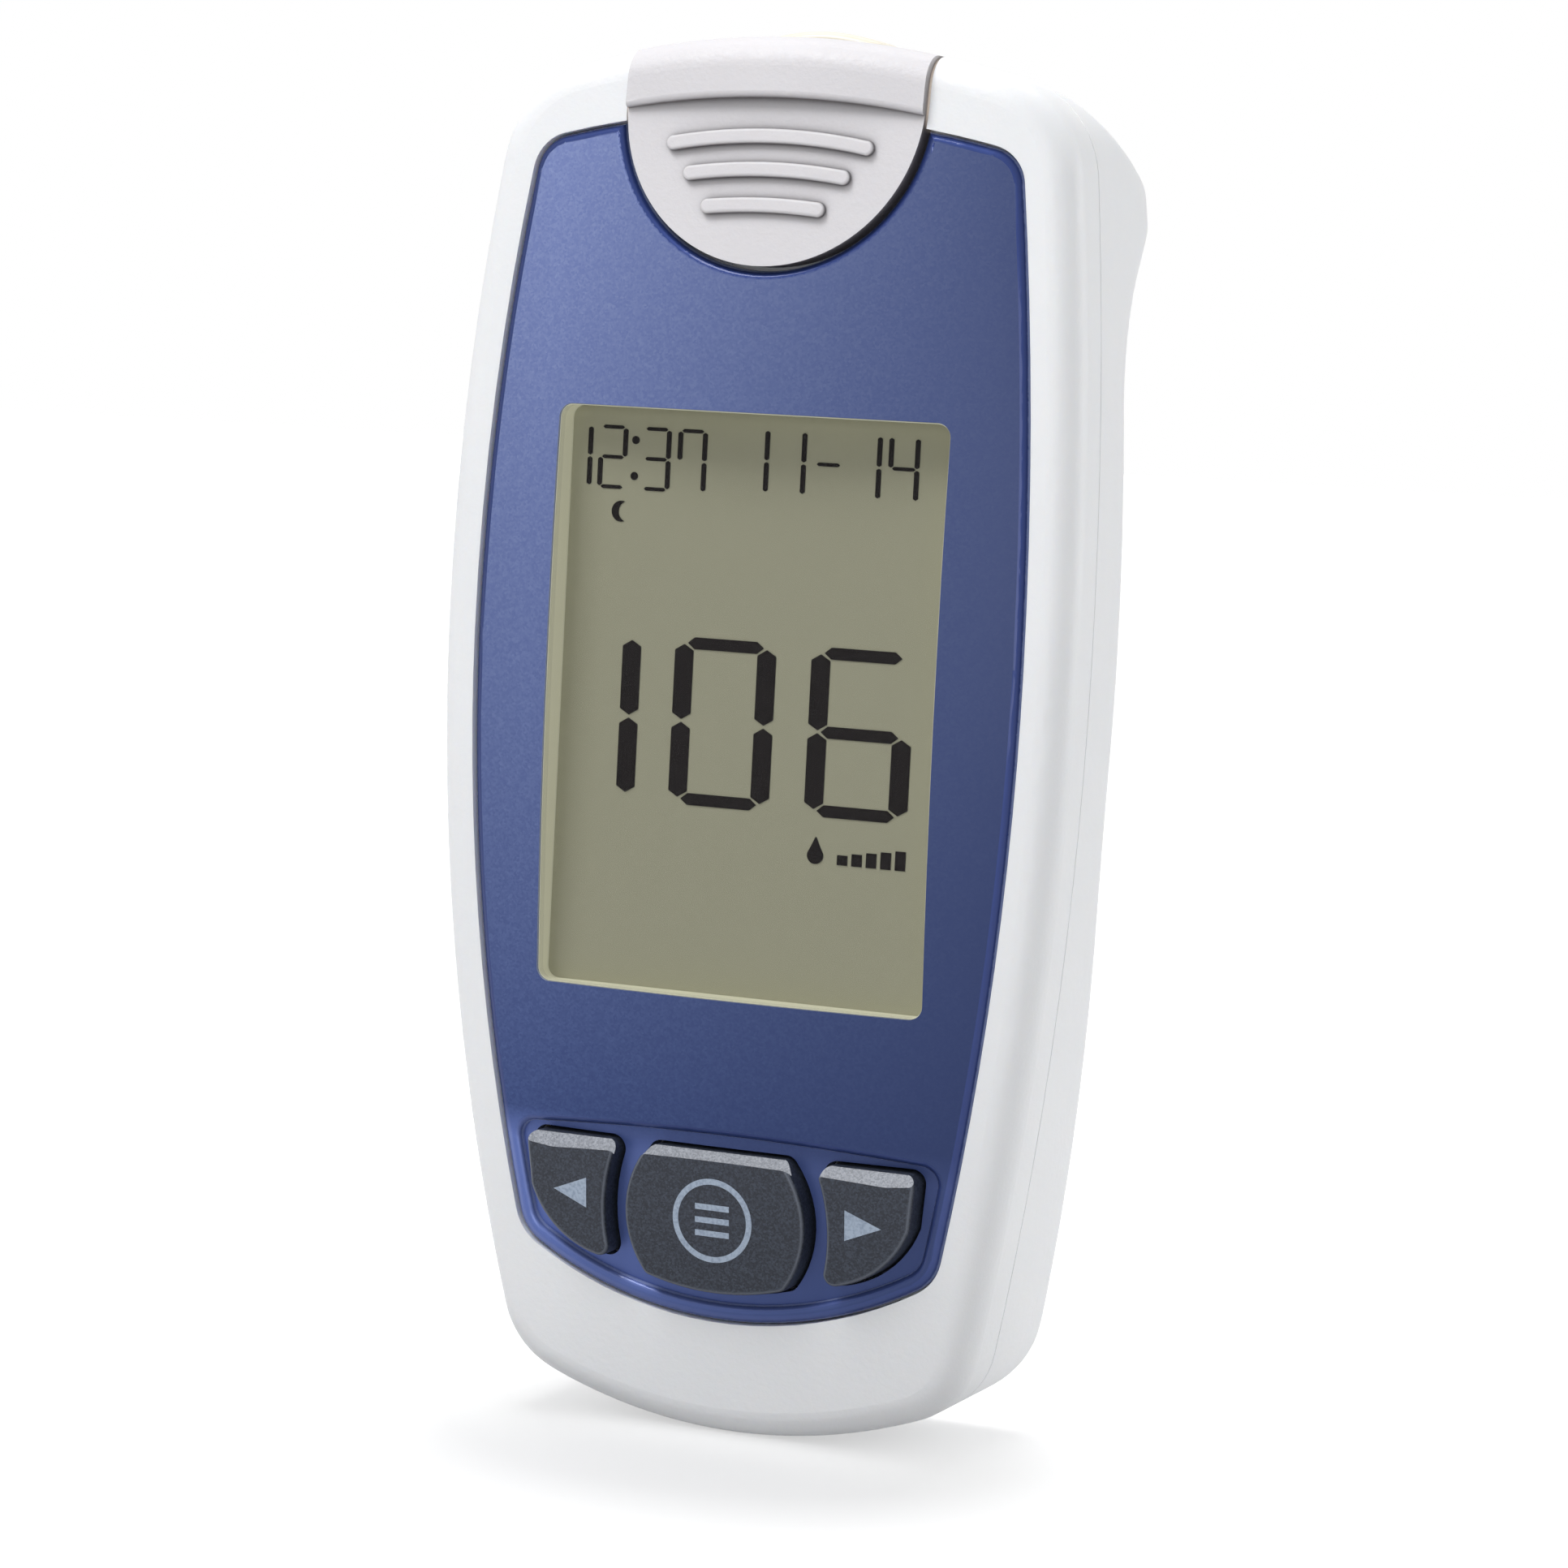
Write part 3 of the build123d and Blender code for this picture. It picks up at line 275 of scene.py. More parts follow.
def paint_glow_in_gaps(material, gap_mm, tone, strength, above_mm):
    """Paints a warm glow where two thin walls nearly touch, above a given height, so the gap does not fall
    into shade.
    """
    tree = material.node_tree
    shader = tree.nodes["Principled BSDF"]
    shut_in = add(tree, "ShaderNodeAmbientOcclusion", {"Distance": 3 * gap_mm * MM}, samples=8)
    gap_glow = add(tree, "ShaderNodeMapRange", {
        "Value": shut_in.outputs["AO"], "From Min": GAP_GLOW_STARTS, "From Max": GAP_GLOW_FULL, "To Max": strength,
    })
    place = add(tree, "ShaderNodeTexCoord").outputs["Object"]
    height = add(tree, "ShaderNodeSeparateXYZ", {"Vector": place})
    up_there = add(tree, "ShaderNodeMapRange", {
        "Value": height.outputs["Z"], "From Min": above_mm * MM, "From Max": (above_mm + GAP_GLOW_RISE_MM) * MM,
    })
    amount = add(tree, "ShaderNodeMath", {
        0: gap_glow.outputs["Result"], 1: up_there.outputs["Result"],
    }, operation="MULTIPLY")
    shader.inputs["Emission Color"].default_value = paint(tone)
    connect(tree, shader, Emission_Strength=amount.outputs["Value"])


# Painted shade under the lip and along the ribs of the ejector.
paint_shade_in_corners(lilac_slider, 3.6, "#5c585b")
# Painted glow in the seams at the strip end, on the ejector and on the shell.
paint_glow_in_gaps(lilac_slider, 0.25, "#e3d3c2", 0.5, above_mm=92)
paint_glow_in_gaps(white_shell, 0.25, "#dfd5ca", 0.4, above_mm=92)
print("painted corner shade on:", lilac_slider.name, "and light in the gaps above 92 mm")

# %% [markdown]
# ## Keys
# The keys are charcoal ABS with a deep eroded texture. On the flat tops each pit catches a point of
# light, so the dark looks dusty. The sloping shoulder above the symbols has flatter pits, and it is
# painted paler, a painted highlight for the light it catches from above. The surface normal tells
# shoulder from top, since only the shoulder looks upward. Every rounded edge gets a painted highlight
# too, a thin paler line round each key.


# %% Charcoal key plastic
def painted_edge_highlight(tree, top, turn_to_front):
    """Paints a highlight: pales a colour along the rounded edges, where the surface starts to turn away from
    the front.
    """
    turned = add(tree, "ShaderNodeMapRange", {"Value": turn_to_front, "From Min": -1.0, "From Max": 0.0})
    edge_glint_ramp = add(tree, "ShaderNodeValToRGB", {"Fac": turned.outputs["Result"]})
    edge_stops = edge_glint_ramp.color_ramp.elements
    edge_stops[0].position, edge_stops[0].color = 0.03, (0, 0, 0, 1)
    edge_stops[1].position, edge_stops[1].color = 0.16, (0.8, 0.8, 0.8, 1)
    end_stop = edge_stops.new(0.6)
    end_stop.color = (0, 0, 0, 1)
    return add(tree, "ShaderNodeMix", {
        "Factor": edge_glint_ramp.outputs["Color"], MIX_A: top, MIX_B: paint("#6a707c"),
    }, data_type="RGBA").outputs[MIX_COLOUR]


def charcoal_key_plastic():
    material, tree, shader, place = start_material("abs_charcoal_textured", IOR=1.38)
    pits = add(tree, "ShaderNodeTexNoise", {
        "Vector": place, "Scale": cycles_for(0.22), "Detail": 2.0, "Roughness": 0.7,
    })
    grains = add(tree, "ShaderNodeTexVoronoi", {"Vector": place, "Scale": cycles_for(0.12)})
    grain_value = add(tree, "ShaderNodeSeparateColor", {"Color": grains.outputs["Color"]})
    caught = add(tree, "ShaderNodeMath", {
        0: grain_value.outputs["Red"], 1: pits.outputs["Fac"],
    }, operation="MULTIPLY")
    specks = add(tree, "ShaderNodeMapRange", {
        "Value": caught.outputs["Value"], "From Min": 0.1, "From Max": 0.5,
    })
    top = add(tree, "ShaderNodeMix", {
        "Factor": specks.outputs["Result"], MIX_A: paint("#232730"), MIX_B: paint("#3b414d"),
    }, data_type="RGBA")
    # Painted highlight: the shoulder is paler, for the light it catches from above.
    painted_glint = add(tree, "ShaderNodeMix", {
        "Factor": grain_value.outputs["Red"], MIX_A: paint("#646973"), MIX_B: paint("#8f949e"),
    }, data_type="RGBA")
    facing = add(tree, "ShaderNodeTexCoord").outputs["Normal"]
    facing_parts = add(tree, "ShaderNodeSeparateXYZ", {"Vector": facing})
    shoulder = add(tree, "ShaderNodeMapRange", {
        "Value": facing_parts.outputs["Z"], "From Min": 0.3, "From Max": 0.55,
    })
    near_front = add(tree, "ShaderNodeMapRange", {
        "Value": facing_parts.outputs["Y"], "From Min": -0.3, "From Max": -0.6,
    })
    polish_and_glint = add(tree, "ShaderNodeMath", {
        0: shoulder.outputs["Result"], 1: near_front.outputs["Result"],
    }, operation="MULTIPLY")
    # A thin painted highlight runs round each key's edges.
    lined = painted_edge_highlight(tree, top.outputs[MIX_COLOUR], facing_parts.outputs["Y"])
    colour = add(tree, "ShaderNodeMix", {
        "Factor": polish_and_glint.outputs["Value"], MIX_A: lined, MIX_B: painted_glint.outputs[MIX_COLOUR],
    }, data_type="RGBA")
    dull = add(tree, "ShaderNodeMapRange", {
        "Value": polish_and_glint.outputs["Value"], "To Min": 0.5, "To Max": 0.34,
    })
    skin = add(tree, "ShaderNodeBump", {
        "Height": pits.outputs["Fac"], "Distance": 0.022 * MM, "Strength": 1.0,
    })
    connect(
        tree, shader, Base_Color=colour.outputs[MIX_COLOUR], Roughness=dull.outputs["Result"],
        Normal=skin.outputs["Normal"],
    )
    return material


charcoal_key = charcoal_key_plastic()
print("key plastic:", charcoal_key.name)

# %% [markdown]
# ## The blue face
# The face is a clear polycarbonate plate, lacquered blue from behind with fine aluminium flake.
# Two things give it away: the colour has a tight sparkle under a wet, sharp gloss, and along every
# rounded rim the plate bends light, so the rim reads as a dark navy line with a bright thread in it.
# That navy line and thread are painted into the colour here, as painted shade and a painted highlight,
# and so are a paler upper face and a darker right side.
# The flake is a Voronoi pattern, one random brightness for each cell. The rim is found from the surface
# normal: the crowned face looks forward, and only its rounded edge turns away.


# %% The blue, with painted highlight and shade
# Between these heights the painted light goes from shade at the keys to highlight at the strip end.
FADE_LOW, FADE_HIGH = 18 * MM, 92 * MM
# The painted shade across the face starts on the left and is full on the right.
LIT_SIDE, SHADED_SIDE = -16 * MM, 22 * MM


def sprayed_blue_and_painted_light(tree, place, sparkle):
    """Lacquer colour with painted highlight and shade, how far a point lies to the right, and whether it lies
    on the thin plate.
    """
    upper = add(tree, "ShaderNodeMix", {
        "Factor": sparkle, MIX_A: paint("#6f7db0"), MIX_B: paint("#8996bf"),
    }, data_type="RGBA")
    lower = add(tree, "ShaderNodeMix", {
        "Factor": sparkle, MIX_A: paint("#1d3163"), MIX_B: paint("#304577"),
    }, data_type="RGBA")
    # Painted highlight and shade: the blue is paler towards the strip end and darker towards the keys.
    along = add(tree, "ShaderNodeSeparateXYZ", {"Vector": place})
    fade = add(tree, "ShaderNodeMapRange", {
        "Value": along.outputs["Z"], "From Min": FADE_LOW, "From Max": FADE_HIGH,
    })
    faded = add(tree, "ShaderNodeMix", {
        "Factor": fade.outputs["Result"],
        MIX_A: lower.outputs[MIX_COLOUR], MIX_B: upper.outputs[MIX_COLOUR],
    }, data_type="RGBA")
    # Under the keys, where the plate is thinner, the blue is lighter.
    thin_part = add(tree, "ShaderNodeMapRange", {
        "Value": along.outputs["Z"], "From Min": 22.3 * MM, "From Max": 20.0 * MM,
    })
    around_keys = add(tree, "ShaderNodeMix", {
        "Factor": thin_part.outputs["Result"], MIX_A: faded.outputs[MIX_COLOUR], MIX_B: paint("#5466a2"),
    }, data_type="RGBA")
    # Painted shade: the blue darkens towards the right side of the face.
    shade_to_right = add(tree, "ShaderNodeMapRange", {
        "Value": along.outputs["X"], "From Min": LIT_SIDE, "From Max": SHADED_SIDE,
        "To Min": 0.0, "To Max": 0.95,
    })
    lacquer = add(tree, "ShaderNodeMix", {
        "Factor": shade_to_right.outputs["Result"],
        MIX_A: around_keys.outputs[MIX_COLOUR], MIX_B: paint("#1e2c54"),
    }, data_type="RGBA")
    return lacquer.outputs[MIX_COLOUR], shade_to_right.outputs["Result"], thin_part.outputs["Result"]


# The printed heights are where the painted highlight fades into painted shade.
print("painted highlight fades from", round(FADE_HIGH / MM), "mm down to", round(FADE_LOW / MM), "mm above the foot")

# %% How the rolled edge shows it
NAVY = "#2b3a6e"
# Both pairs say how far the plate has turned from the front: 0 is not at all, 1 is a right angle.
BAND_STARTS, BAND_FULL = 0.02, 0.05
GLINT_STARTS, GLINT_FULL = 0.42, 0.6


def edge_bands(tree, lacquer, shade_to_right, thin_part):
    """From face to edge, a painted navy band of shade where the bent clear edge would show the dark gap, then
    a thin painted highlight.
    """
    facing = add(tree, "ShaderNodeTexCoord").outputs["Normal"]
    facing_parts = add(tree, "ShaderNodeSeparateXYZ", {"Vector": facing})
    turned_away = add(tree, "ShaderNodeMapRange", {
        "Value": facing_parts.outputs["Y"], "From Min": -1.0, "From Max": 0.0,
    })
    # Over the thin plate at the keys the band is lighter, and the painted shade across the face darkens it
    # towards the right.
    lit_band = add(tree, "ShaderNodeMix", {
        "Factor": shade_to_right, MIX_A: paint("#5f6fa8"), MIX_B: paint(NAVY),
    }, data_type="RGBA")
    band_tone = add(tree, "ShaderNodeMix", {
        "Factor": thin_part, MIX_A: paint(NAVY), MIX_B: lit_band.outputs[MIX_COLOUR],
    }, data_type="RGBA")
    # Painted shade on the rim, then a painted highlight nearer its edge.
    rim = add(tree, "ShaderNodeMapRange", {
        "Value": turned_away.outputs["Result"], "From Min": BAND_STARTS, "From Max": BAND_FULL,
    })
    banded = add(tree, "ShaderNodeMix", {
        "Factor": rim.outputs["Result"], MIX_A: lacquer, MIX_B: band_tone.outputs[MIX_COLOUR],
    }, data_type="RGBA")
    thread = add(tree, "ShaderNodeMapRange", {
        "Value": turned_away.outputs["Result"], "From Min": GLINT_STARTS, "From Max": GLINT_FULL,
    })
    colour = add(tree, "ShaderNodeMix", {
        "Factor": thread.outputs["Result"], MIX_A: banded.outputs[MIX_COLOUR], MIX_B: paint("#93a0c8"),
    }, data_type="RGBA")
    return colour.outputs[MIX_COLOUR], rim.outputs["Result"], thread.outputs["Result"]


for part, start in (("navy band", BAND_STARTS), ("bright thread", GLINT_STARTS)):
    print(part, "starts at a bend of", round(math.degrees(math.acos(1 - start))), "degrees")

# %% Blue lacquer behind a clear plate
def lacquered_face():
    material, tree, shader, place = start_material(
        "pc_clear_blue_metallic_lacquer",
        Metallic=0.45, Roughness=0.45, IOR=1.05, Coat_Weight=1.0,
    )
    # Real flake is 0.02 to 0.05 mm wide; it is drawn at 0.16 mm so that it still shows from arm's length.
    flake = add(tree, "ShaderNodeTexVoronoi", {"Vector": place, "Scale": cycles_for(0.16)})
    flake_value = add(tree, "ShaderNodeSeparateColor", {"Color": flake.outputs["Color"]})
    haze = add(tree, "ShaderNodeTexNoise", {"Vector": place, "Scale": cycles_for(0.45), "Detail": 3.0})
    sparkle = add(tree, "ShaderNodeMath", {
        0: flake_value.outputs["Red"], 1: haze.outputs["Fac"],
    }, operation="MULTIPLY")
    lacquer, shade_to_right, thin_part = sprayed_blue_and_painted_light(tree, place, sparkle.outputs["Value"])
    colour, rim, thread = edge_bands(tree, lacquer, shade_to_right, thin_part)
    # The crowned face is hazed by handling; its rolled edge stays glassy and catches thin highlights.
    gloss = add(tree, "ShaderNodeMapRange", {"Value": rim, "To Min": 0.3, "To Max": 0.12})
    step = add(tree, "ShaderNodeMapRange", {"Value": thread, "To Min": 1.27, "To Max": 1.55})
    sag = add(tree, "ShaderNodeBump", {
        "Height": haze.outputs["Fac"], "Distance": 0.004 * MM, "Strength": 1.0,
    })
    connect(
        tree, shader, Base_Color=colour, Coat_Roughness=gloss.outputs["Result"],
        Coat_IOR=step.outputs["Result"], Normal=sag.outputs["Normal"],
    )
    return material


blue_face = lacquered_face()
print("face plate finish:", blue_face.name)

# %% [markdown]
# ## The display stack
# A reflective liquid crystal display is a sandwich: window, polariser, glass, foil. What the eye reads
# as the grey-green ground is the front polariser with its matt anti-glare skin, so that layer
# carries the colour and its mottled grain, and the clear window over it stays almost invisible.
# The window could be refracting glass, but then lamp light would reach the display only as slow,
# noisy caustics. A nearly transparent gloss gives the same picture in a tenth of the samples.


# %% Window, polariser, glass, foil and figures
def clear_window():
    material, _, shader, _ = start_material("pmma_clear_window", Roughness=0.04, IOR=1.49, Alpha=0.06)
    shader.inputs["Base Color"].default_value = paint("#343836")
    return material


def grey_green_polariser():
    material, tree, shader, place = start_material("polariser_grey_green_antiglare", IOR=1.3)
    # Anti-glare skins have grains of 0.02 mm; 0.22 mm is drawn, so the mottling still shows.
    grain = add(tree, "ShaderNodeTexNoise", {"Vector": place, "Scale": cycles_for(0.22), "Detail": 3.0})
    drift = add(tree, "ShaderNodeTexNoise", {"Vector": place, "Scale": cycles_for(14.0), "Detail": 1.0})
    mottle = add(tree, "ShaderNodeMix", {
        "Factor": grain.outputs["Fac"], MIX_A: paint("#989780"), MIX_B: paint("#a4a38e"),
    }, data_type="RGBA")
    colour = add(tree, "ShaderNodeMix", {
        "Factor": drift.outputs["Fac"], MIX_A: mottle.outputs[MIX_COLOUR], MIX_B: paint("#9f9e88"),
    }, data_type="RGBA")
    dull = add(tree, "ShaderNodeMapRange", {
        "Value": grain.outputs["Fac"], "To Min": 0.5, "To Max": 0.7,
    })
    connect(tree, shader, Base_Color=colour.outputs[MIX_COLOUR], Roughness=dull.outputs["Result"])
    return material


window_clear = clear_window()
polariser = grey_green_polariser()
# Display glass: soda lime, cut, not polished at the edge, so it looks faintly green and smooth.
display_glass = moulded_plastic("soda_lime_glass_cut", "#9fb3a6", "#8fa498", 0.08, 0.5, 0.001, ior=1.52)
# Darkened crystal: almost black with a warm cast, because the polariser never blocks quite all red.
# It lies bonded under glass, with no air against it, so its index step is small and it hardly reflects.
dark_crystal = moulded_plastic("liquid_crystal_dark_bonded", "#231f20", "#1e1a1b", 0.7, 0.25, 0.001, ior=1.1)
# Screen print on the wall of the window opening: the tone of the display, a little darker, dull.
reveal_print = moulded_plastic("screen_print_grey_green", "#b9b8a3", "#b0af9a", 0.7, 0.3, 0.002, ior=1.48)
# The print is given a painted glow, so the wall behind the window's rim never falls into shade.
reveal_shader = reveal_print.node_tree.nodes["Principled BSDF"]
reveal_shader.inputs["Emission Color"].default_value = paint("#a9a892")
reveal_shader.inputs["Emission Strength"].default_value = 0.48
print("display layers ready")

# %% [markdown]
# ## Printed marks
# The key symbols are pad printed: a silicone pad lifts ink out of an etched plate and presses it
# into the textured plastic. The ink is a thin film that follows the texture under it, so one
# noise of about the key's pit size both pales the ink where it is thin and roughens it.


# %% Pad printed ink
def pad_print_ink():
    material, tree, shader, place = start_material("pad_print_pale_blue", IOR=1.48, Roughness=0.5)
    pits = add(tree, "ShaderNodeTexNoise", {"Vector": place, "Scale": cycles_for(0.2), "Detail": 2.0})
    thin = add(tree, "ShaderNodeMapRange", {"Value": pits.outputs["Fac"], "From Min": 0.3, "From Max": 0.6})
    colour = add(tree, "ShaderNodeMix", {
        "Factor": thin.outputs["Result"], MIX_A: paint("#8795aa"), MIX_B: paint("#a4b2c4"),
    }, data_type="RGBA")
    skin = add(tree, "ShaderNodeBump", {
        "Height": pits.outputs["Fac"], "Distance": 0.012 * MM, "Strength": 1.0,
    })
    connect(tree, shader, Base_Color=colour.outputs[MIX_COLOUR], Normal=skin.outputs["Normal"])
    return material


ink = pad_print_ink()
print("ink ready")

# %% [markdown]
# ## Metals
# Screws, springs, contacts and the cell can are metal. What separates them is colour and how they were
# worked: drawn wire and turned heads carry fine lines along the work, and plating is smooth with slow
# clouds. One recipe stretches a noise along the working direction and feeds it to roughness and a
# micron-deep bump.


# %% Recipe for a worked metal
def worked_metal(name, bright, dull_tint, roughness, line_mm, stretch, line_depth_mm):
    """Metal with fine lines; stretch holds how much the noise is squeezed along each axis."""
    material, tree, shader, place = start_material(name, Metallic=1.0)
    worked = add(tree, "ShaderNodeMapping", {"Vector": place, "Scale": stretch})
    lines = add(tree, "ShaderNodeTexNoise", {
        "Vector": worked.outputs["Vector"], "Scale": cycles_for(line_mm), "Detail": 3.0,
    })
    clouds = add(tree, "ShaderNodeTexNoise", {"Vector": place, "Scale": cycles_for(3.0), "Detail": 2.0})
    colour = add(tree, "ShaderNodeMix", {
        "Factor": clouds.outputs["Fac"], MIX_A: paint(dull_tint), MIX_B: paint(bright),
    }, data_type="RGBA")
    dull = add(tree, "ShaderNodeMapRange", {
        "Value": lines.outputs["Fac"], "From Min": 0.3, "From Max": 0.7,
        "To Min": roughness * 0.7, "To Max": roughness * 1.3,
    })
    skin = add(tree, "ShaderNodeBump", {
        "Height": lines.outputs["Fac"], "Distance": line_depth_mm * MM, "Strength": 1.0,
    })
    connect(
        tree, shader, Base_Color=colour.outputs[MIX_COLOUR], Roughness=dull.outputs["Result"],
        Normal=skin.outputs["Normal"],
    )
    return material


# Zinc plated screw steel, turned: bluish grey with soft rings of light.
screw_steel = worked_metal("steel_zinc_plated_turned", "#c3c6ca", "#a9adb2", 0.3, 0.25, (1, 1, 1), 0.002)
# Spring wire: drawn music wire, darker and smoother.
spring_wire = worked_metal("steel_wire_drawn", "#b3b4b6", "#97999c", 0.24, 0.2, (1, 1, 0.2), 0.001)
# Cell can: nickel plated deep-drawn steel, brushed one way before stamping.
cell_can = worked_metal("steel_nickel_plated_brushed", "#cfcdc8", "#b9b7b2", 0.28, 0.12, (0.05, 1, 1), 0.002)
# Contacts: gold over nickel, rolled strip.
gold_strip = worked_metal("brass_gold_plated_rolled", "#d9b65a", "#c49f45", 0.22, 0.15, (1, 1, 0.1), 0.001)
# Buzzer and battery springs: bright tin on stamped steel.
tin_steel = worked_metal("steel_tin_plated_stamped", "#c9cacb", "#b0b2b4", 0.26, 0.3, (1, 0.3, 1), 0.001)
# Reflector: embossed aluminium foil, a soft silver.
foil = worked_metal("aluminium_foil_embossed", "#c8cbcc", "#b4b8b9", 0.45, 0.3, (1, 1, 1), 0.006)
print("metals ready")

# %% [markdown]
# ## Board and striped rubber
# Two inner materials are recognised by pattern alone. The laminate is green solder mask over copper
# tracks, which stand a hair proud, so brick rows squeezed to track width lift the surface.
# The connector strip between glass and board is silicone with alternating black conducting layers.


# %% Green laminate and striped connector
def green_laminate():
    material, tree, shader, place = start_material("fr4_green_solder_mask", Roughness=0.3, IOR=1.5)
    flat = add(tree, "ShaderNodeMapping", {"Vector": place, "Rotation": (math.radians(90), 0, 0)})
    tracks = add(tree, "ShaderNodeTexBrick", {
        "Vector": flat.outputs["Vector"], "Scale": 1.0,
        "Color1": paint("#2f7a4c"), "Color2": paint("#286d43"), "Mortar": paint("#1c5233"),
        "Mortar Size": 0.25 * MM, "Mortar Smooth": 0.3, "Brick Width": 5.2 * MM, "Row Height": 0.9 * MM,
    })
    lift = add(tree, "ShaderNodeBump", {
        "Height": tracks.outputs["Fac"], "Distance": 0.035 * MM, "Strength": 1.0,
    }, invert=True)
    connect(tree, shader, Base_Color=tracks.outputs["Color"], Normal=lift.outputs["Normal"])
    return material


def striped_rubber():
    material, tree, shader, place = start_material("silicone_striped_connector", Roughness=0.55, IOR=1.41)
    # Layers are 0.05 mm apart in life. They are drawn 3.1 mm apart so that the stripes show: one radian
    # of the wave takes 0.5 mm, and a Wave texture of scale 1 runs through 20 radians in a metre.
    layers = add(tree, "ShaderNodeTexWave", {
        "Vector": place, "Scale": cycles_for(0.5) / 20,
    }, bands_direction="X")
    step = add(tree, "ShaderNodeMapRange", {
        "Value": layers.outputs["Fac"], "From Min": 0.45, "From Max": 0.55,
    })
    colour = add(tree, "ShaderNodeMix", {
        "Factor": step.outputs["Result"], MIX_A: paint("#2a2a2c"), MIX_B: paint("#c9c9c4"),
    }, data_type="RGBA")
    connect(tree, shader, Base_Color=colour.outputs[MIX_COLOUR])
    return material


laminate = green_laminate()
zebra = striped_rubber()
print("patterned inner materials ready")

# %% [markdown]
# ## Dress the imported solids
# The record that came with the frame says which material slot each node takes. A table from
# slot to finish then dresses all nodes in one loop, which is safer than naming thirty nodes by hand:
# a node that nobody thought of raises an error instead of staying bare.

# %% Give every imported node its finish
FINISHES = {
    "white_abs": white_shell,
    "blue_clearcoat": blue_face,
    "clear_lens": window_clear,
    "lcd_grey_green": polariser,
    "charcoal_key": charcoal_key,
    "black_foam": foam,
    "display_glass": display_glass,
    "reflector_foil": foil,
    "frame_grey": grey_frame,
    "zebra_rubber": zebra,
    "silicone_grey": silicone,
    "green_laminate": laminate,
    "chip_black": epoxy_black,
    "tan_ceramic": ceramic,
    "plated_steel": tin_steel,
    "gold_plated": gold_strip,
    "spring_steel": spring_wire,
    "cell_steel": cell_can,
    "ivory_plastic": ivory_nozzle,
}
slot_of = {row["node"]: row["material_slot"] for row in frame["record"]["subparts"]}
for name, node in frame["nodes"].items():
    for spot in node.material_slots:
        spot.material = FINISHES[slot_of[name]]
for spot in frame["nodes"]["strip_ejector"].material_slots:
    spot.material = lilac_slider
print("dressed", len(slot_of), "nodes")

# %% [markdown]
# ## From a drawn shape to a piece that rides
# Every modelled piece ends the same way: its mesh is drawn in millimetres, scaled to metres, given clean
# normals and a material, and told which moving body carries it. A last helper gives the boxes of the
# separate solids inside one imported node, so that four screws can be found without typing places.


# %% Piece helpers
def make_piece(shape, name, finishes, body, smooth_angle=None):
    """Turns a bmesh in millimetres into an object that rides on a body."""
    bmesh.ops.recalc_face_normals(shape, faces=shape.faces)
    mesh = bpy.data.meshes.new(name)
    shape.to_mesh(mesh)
    shape.free()
    mesh.transform(Matrix.Scale(MM, 4))
    for finish in finishes:
        mesh.materials.append(finish)
    if smooth_angle is not None:
        mesh.shade_smooth()
        mesh.set_sharp_from_angle(angle=math.radians(smooth_angle))
    piece = bpy.data.objects.new(name, mesh)
    scene.collection.objects.link(piece)
    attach(piece, body)
    return piece


def add_plate(shape, corners, front, back):
    """Adds a flat plate: an outline of (x, z) corners between two y values, all in millimetres."""
    near = [shape.verts.new((x, front, z)) for x, z in corners]
    far = [shape.verts.new((x, back, z)) for x, z in corners]
    shape.faces.new(near)
    shape.faces.new(list(reversed(far)))
    for index in range(len(corners)):
        after = (index + 1) % len(corners)
        shape.faces.new((near[index], far[index], far[after], near[after]))


def solid_boxes(node):
    """Lowest and highest corner, in millimetres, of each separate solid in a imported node."""
    shape = bmesh.new()
    shape.from_mesh(frame["nodes"][node].data)
    bmesh.ops.remove_doubles(shape, verts=shape.verts, dist=1e-7)
    left = set(shape.verts)
    boxes = []
    while left:
        group = [left.pop()]
        for vertex in group:
            for edge in vertex.link_edges:
                other = edge.other_vert(vertex)
                if other in left:
                    left.remove(other)
                    group.append(other)
        low = Vector([min(v.co[axis] for v in group) / MM for axis in range(3)])
        high = Vector([max(v.co[axis] for v in group) / MM for axis in range(3)])
        boxes.append((low, high))
    shape.free()
    return sorted(boxes, key=lambda box: (box[0].x, box[0].z))


print("solids among the housing screws:", len(solid_boxes("housing_screws")))

# %% [markdown]
# ## Seven-segment figures
# The figures on the display are seven bars of crystal for each digit, with pointed ends and hairline
# gaps where the electrodes must not touch. Text objects could fake them, but no font has these
# gaps, so each bar is a six-cornered plate. A table says which bars a digit lights, and one
# function lays out a digit from its column spacing and height.

# %% Draw display figures
# The seven bars are named clockwise from the top, a to f, and g is the middle one.
BARS_OF = {
    "0": "abcdef", "1": "bc", "2": "abged", "3": "abgcd", "4": "fgbc",
    "6": "afgedc", "7": "fabc", "-": "g",
}
display_low, display_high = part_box("lcd_polariser")
display_x = (display_low.x + display_high.x) / 2 / MM
display_z = (display_low.z + display_high.z) / 2 / MM
FIGURE_GAP, FIGURE_FILM = 0.02, 0.03
figure_back = display_low.y / MM - FIGURE_GAP
figure_front = figure_back - FIGURE_FILM


def add_bar(shape, centre, length, width, point, upright):
    """One pointed bar; length runs from tip to tip."""
    half, flat = length / 2, width / 2
    along = [
        (-half, 0), (point - half, flat), (half - point, flat),
        (half, 0), (half - point, -flat), (point - half, -flat),
    ]
    corners = []
    for run, rise in along:
        offset = (rise, run) if upright else (run, rise)
        corners.append((display_x + centre[0] + offset[0], display_z + centre[1] + offset[1]))
    add_plate(shape, corners, figure_front, figure_back)


